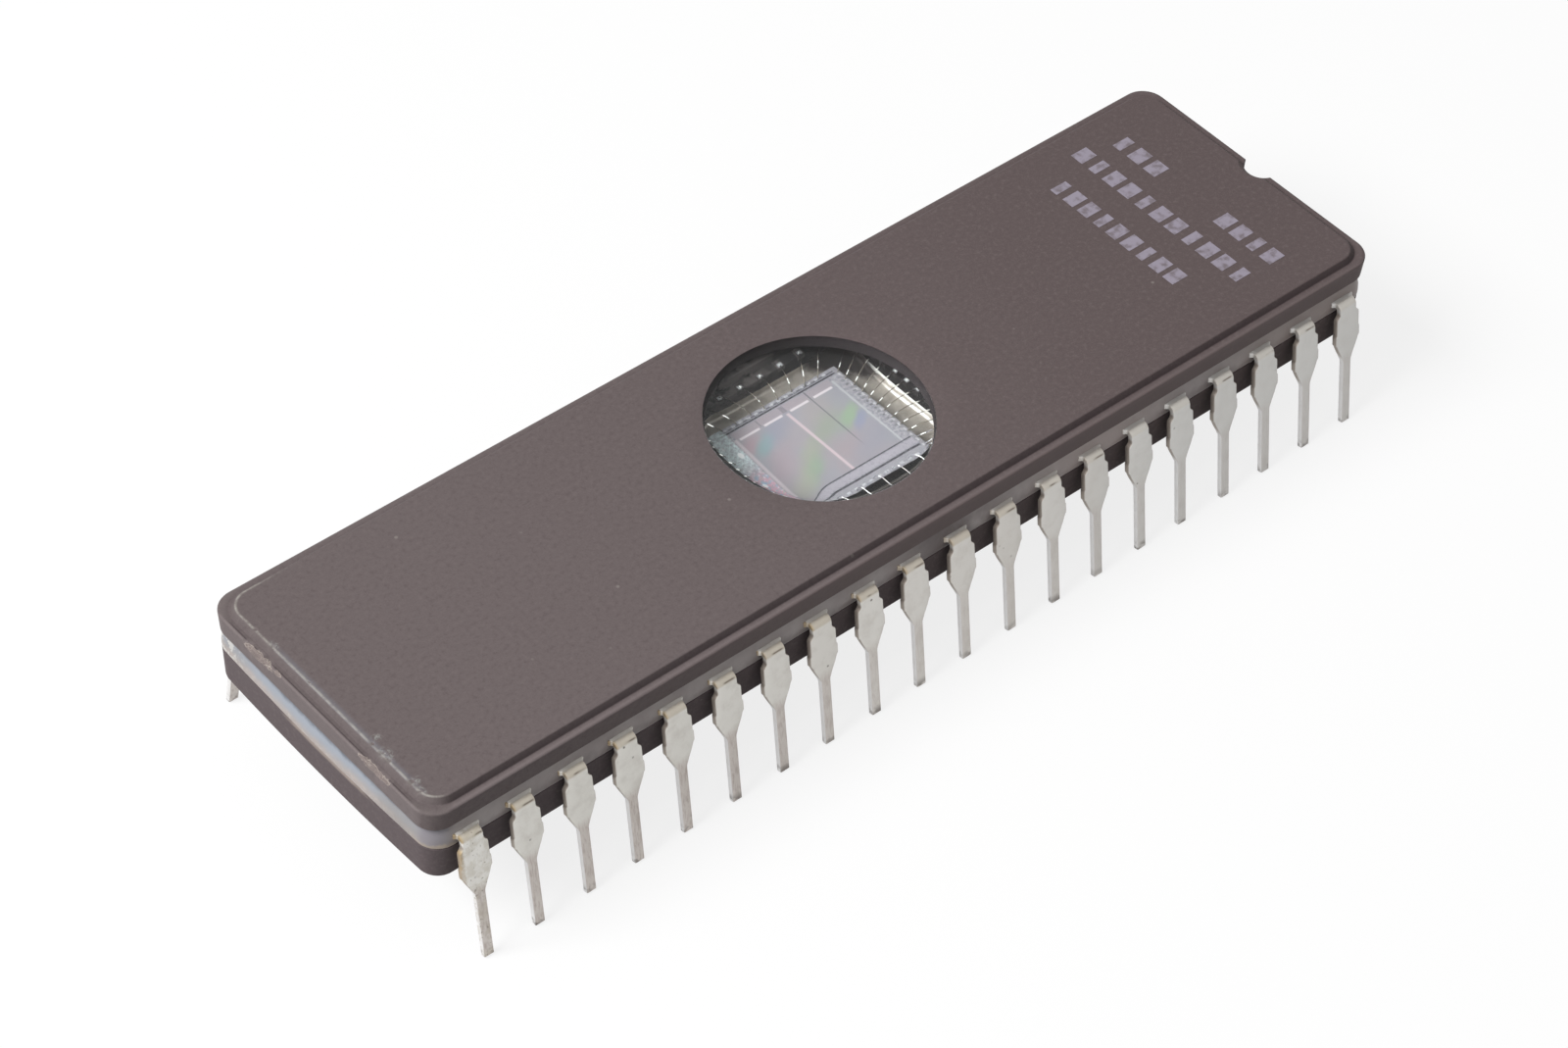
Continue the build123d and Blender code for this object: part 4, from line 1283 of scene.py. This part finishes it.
# Painted shade on the fingers, with painted light on part of the far shelf.
coated.tone = coated.blend((34, 29, 30), (112, 105, 103), lit_shelf * 0.8)
coated.over((226, 228, 230), near_tip)
coated.set(Base_Color=coated.blend(coated.tone, (62, 58, 58), brush.ramp(0.5, 0.8) * 0.4 * (1.0 - near_tip)),
           Metallic=0.5 * near_tip, Roughness=0.40 + 0.14 * brush, Specular_IOR_Level=0.2)
coated.bump(brush, 0.008, 0.6)
fingers.data.materials.append(coated.material)

# %% [markdown]
# ## Everything rides on the one body
#
# The chip has no moving part, so all pieces ride on the root body. A table pairs each piece with
# one of the record's slots.

# %% Ride, and a table of slots
slots = {lid: "ceramic", base: "ceramic", marking: "ceramic", seal: "seal_glass", pane: "window_glass",
         die_piece: "silicon", wires: "bond_wire", fingers: "lead_metal", rows[0]: "lead_metal",
         rows[1]: "lead_metal"}
for piece, slot in slots.items():
    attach(piece, "root")
print("pieces", len(slots))

# %% [markdown]
# ## The studio
#
# The photograph has a pure white ground, a broad light above and to the left, and little from the
# near side. A large soft box does that, with a white world that is dim for diffuse light and full
# for the camera, mirrors and glass. The floor is pale and keeps a soft shadow.

# %% Floor and world
def seen_by(graph):
    """1 for rays from the camera, mirrors and glass that have met no dull surface, else 0."""
    ray = graph.add("ShaderNodeLightPath", output="Is Camera Ray")
    return ray.most(ray["Is Glossy Ray"]).most(ray["Is Transmission Ray"]) * (ray["Diffuse Depth"] < 0.5)


bpy.ops.mesh.primitive_plane_add(size=2.0, location=(0, 0, -0.00005))
ground = bpy.context.object
ground.name = "floor"
pale = Finish("pale_floor")
seen = seen_by(pale)
pale.set(Base_Color=pale.blend((168, 168, 168), (252, 252, 252), seen), Roughness=0.8, Specular_IOR_Level=0.1)
white = pale.add("ShaderNodeEmission", values={"Color": (1, 1, 1, 1), "Strength": 1.03})
pale.tree.links.new(pale.add("ShaderNodeMixShader", values={0: 0.80 * seen, 1: pale.shader, 2: white}).socket,
                    pale.end.inputs["Surface"])
ground.data.materials.append(pale.material)
ground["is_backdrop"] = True

world = bpy.data.worlds.new("white_room")
bpy.context.scene.world = world
world.use_nodes = True
world.node_tree.nodes.clear()
room = Graph(world.node_tree)
room.add("ShaderNodeOutputWorld", values={"Surface": room.add("ShaderNodeBackground", values={
    "Color": (1, 1, 1, 1), "Strength": 0.24 + 0.76 * seen_by(room)})})


# %% Lamps and camera
def aimed(place, target):
    """Where a lamp stands, looking at the target, with Z up."""
    look = Vector(target) - Vector(place)
    return Matrix.Translation(place) @ look.to_track_quat("-Z", "Y").to_matrix().to_4x4()


def softbox(name, place, size, strength):
    """Strength 1 lights a facing surface at the object so that its colour renders as written."""
    lamp = bpy.data.lights.new(name, "AREA")
    lamp.shape = "RECTANGLE"
    lamp.size, lamp.size_y = size
    lamp.energy = strength * (math.pi * Vector(place).length) ** 2
    box = stand(name, lamp)
    box.matrix_world = aimed(place, (0, 0, 0.004))
    box.visible_transmission = False
    return box


softbox("key_light", (-0.34, 0.08, 0.36), (0.28, 0.22), 0.98)

# The camera is the one that a fit to the lead tips, the lid's edges and the window gave.
LOOK = Vector((0.476974, 0.504822, -0.719480))
CAMERA_PLACE = Vector((-88.579, -92.023, 134.016))
CAMERA_ROLL = math.radians(3.7493)
LENS_LENGTH, SENSOR_WIDTH = 98.9926, 36.0
level_right = LOOK.cross(Vector((0, 0, 1))).normalized()
level_up = level_right.cross(LOOK)
right = level_right * math.cos(CAMERA_ROLL) + level_up * math.sin(CAMERA_ROLL)
up = level_up * math.cos(CAMERA_ROLL) - level_right * math.sin(CAMERA_ROLL)
lens = bpy.data.cameras.new("camera")
lens.lens, lens.sensor_width, lens.clip_start, lens.clip_end = LENS_LENGTH, SENSOR_WIDTH, 0.01, 10.0
camera = stand("camera", lens)
turn = Matrix((right, up, -LOOK)).transposed().to_4x4()
camera.matrix_world = Matrix.Translation(CAMERA_PLACE * MM) @ turn
bpy.context.scene.camera = camera
bpy.context.scene.view_settings.view_transform = "Standard"

# %% Sizes, and the end
boxes = [[[float(c) for c in corner] for corner in box] for box in (cad_box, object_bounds())]
{"cad": boxes[0], "visual": boxes[1]}
print("visual box", boxes[1])
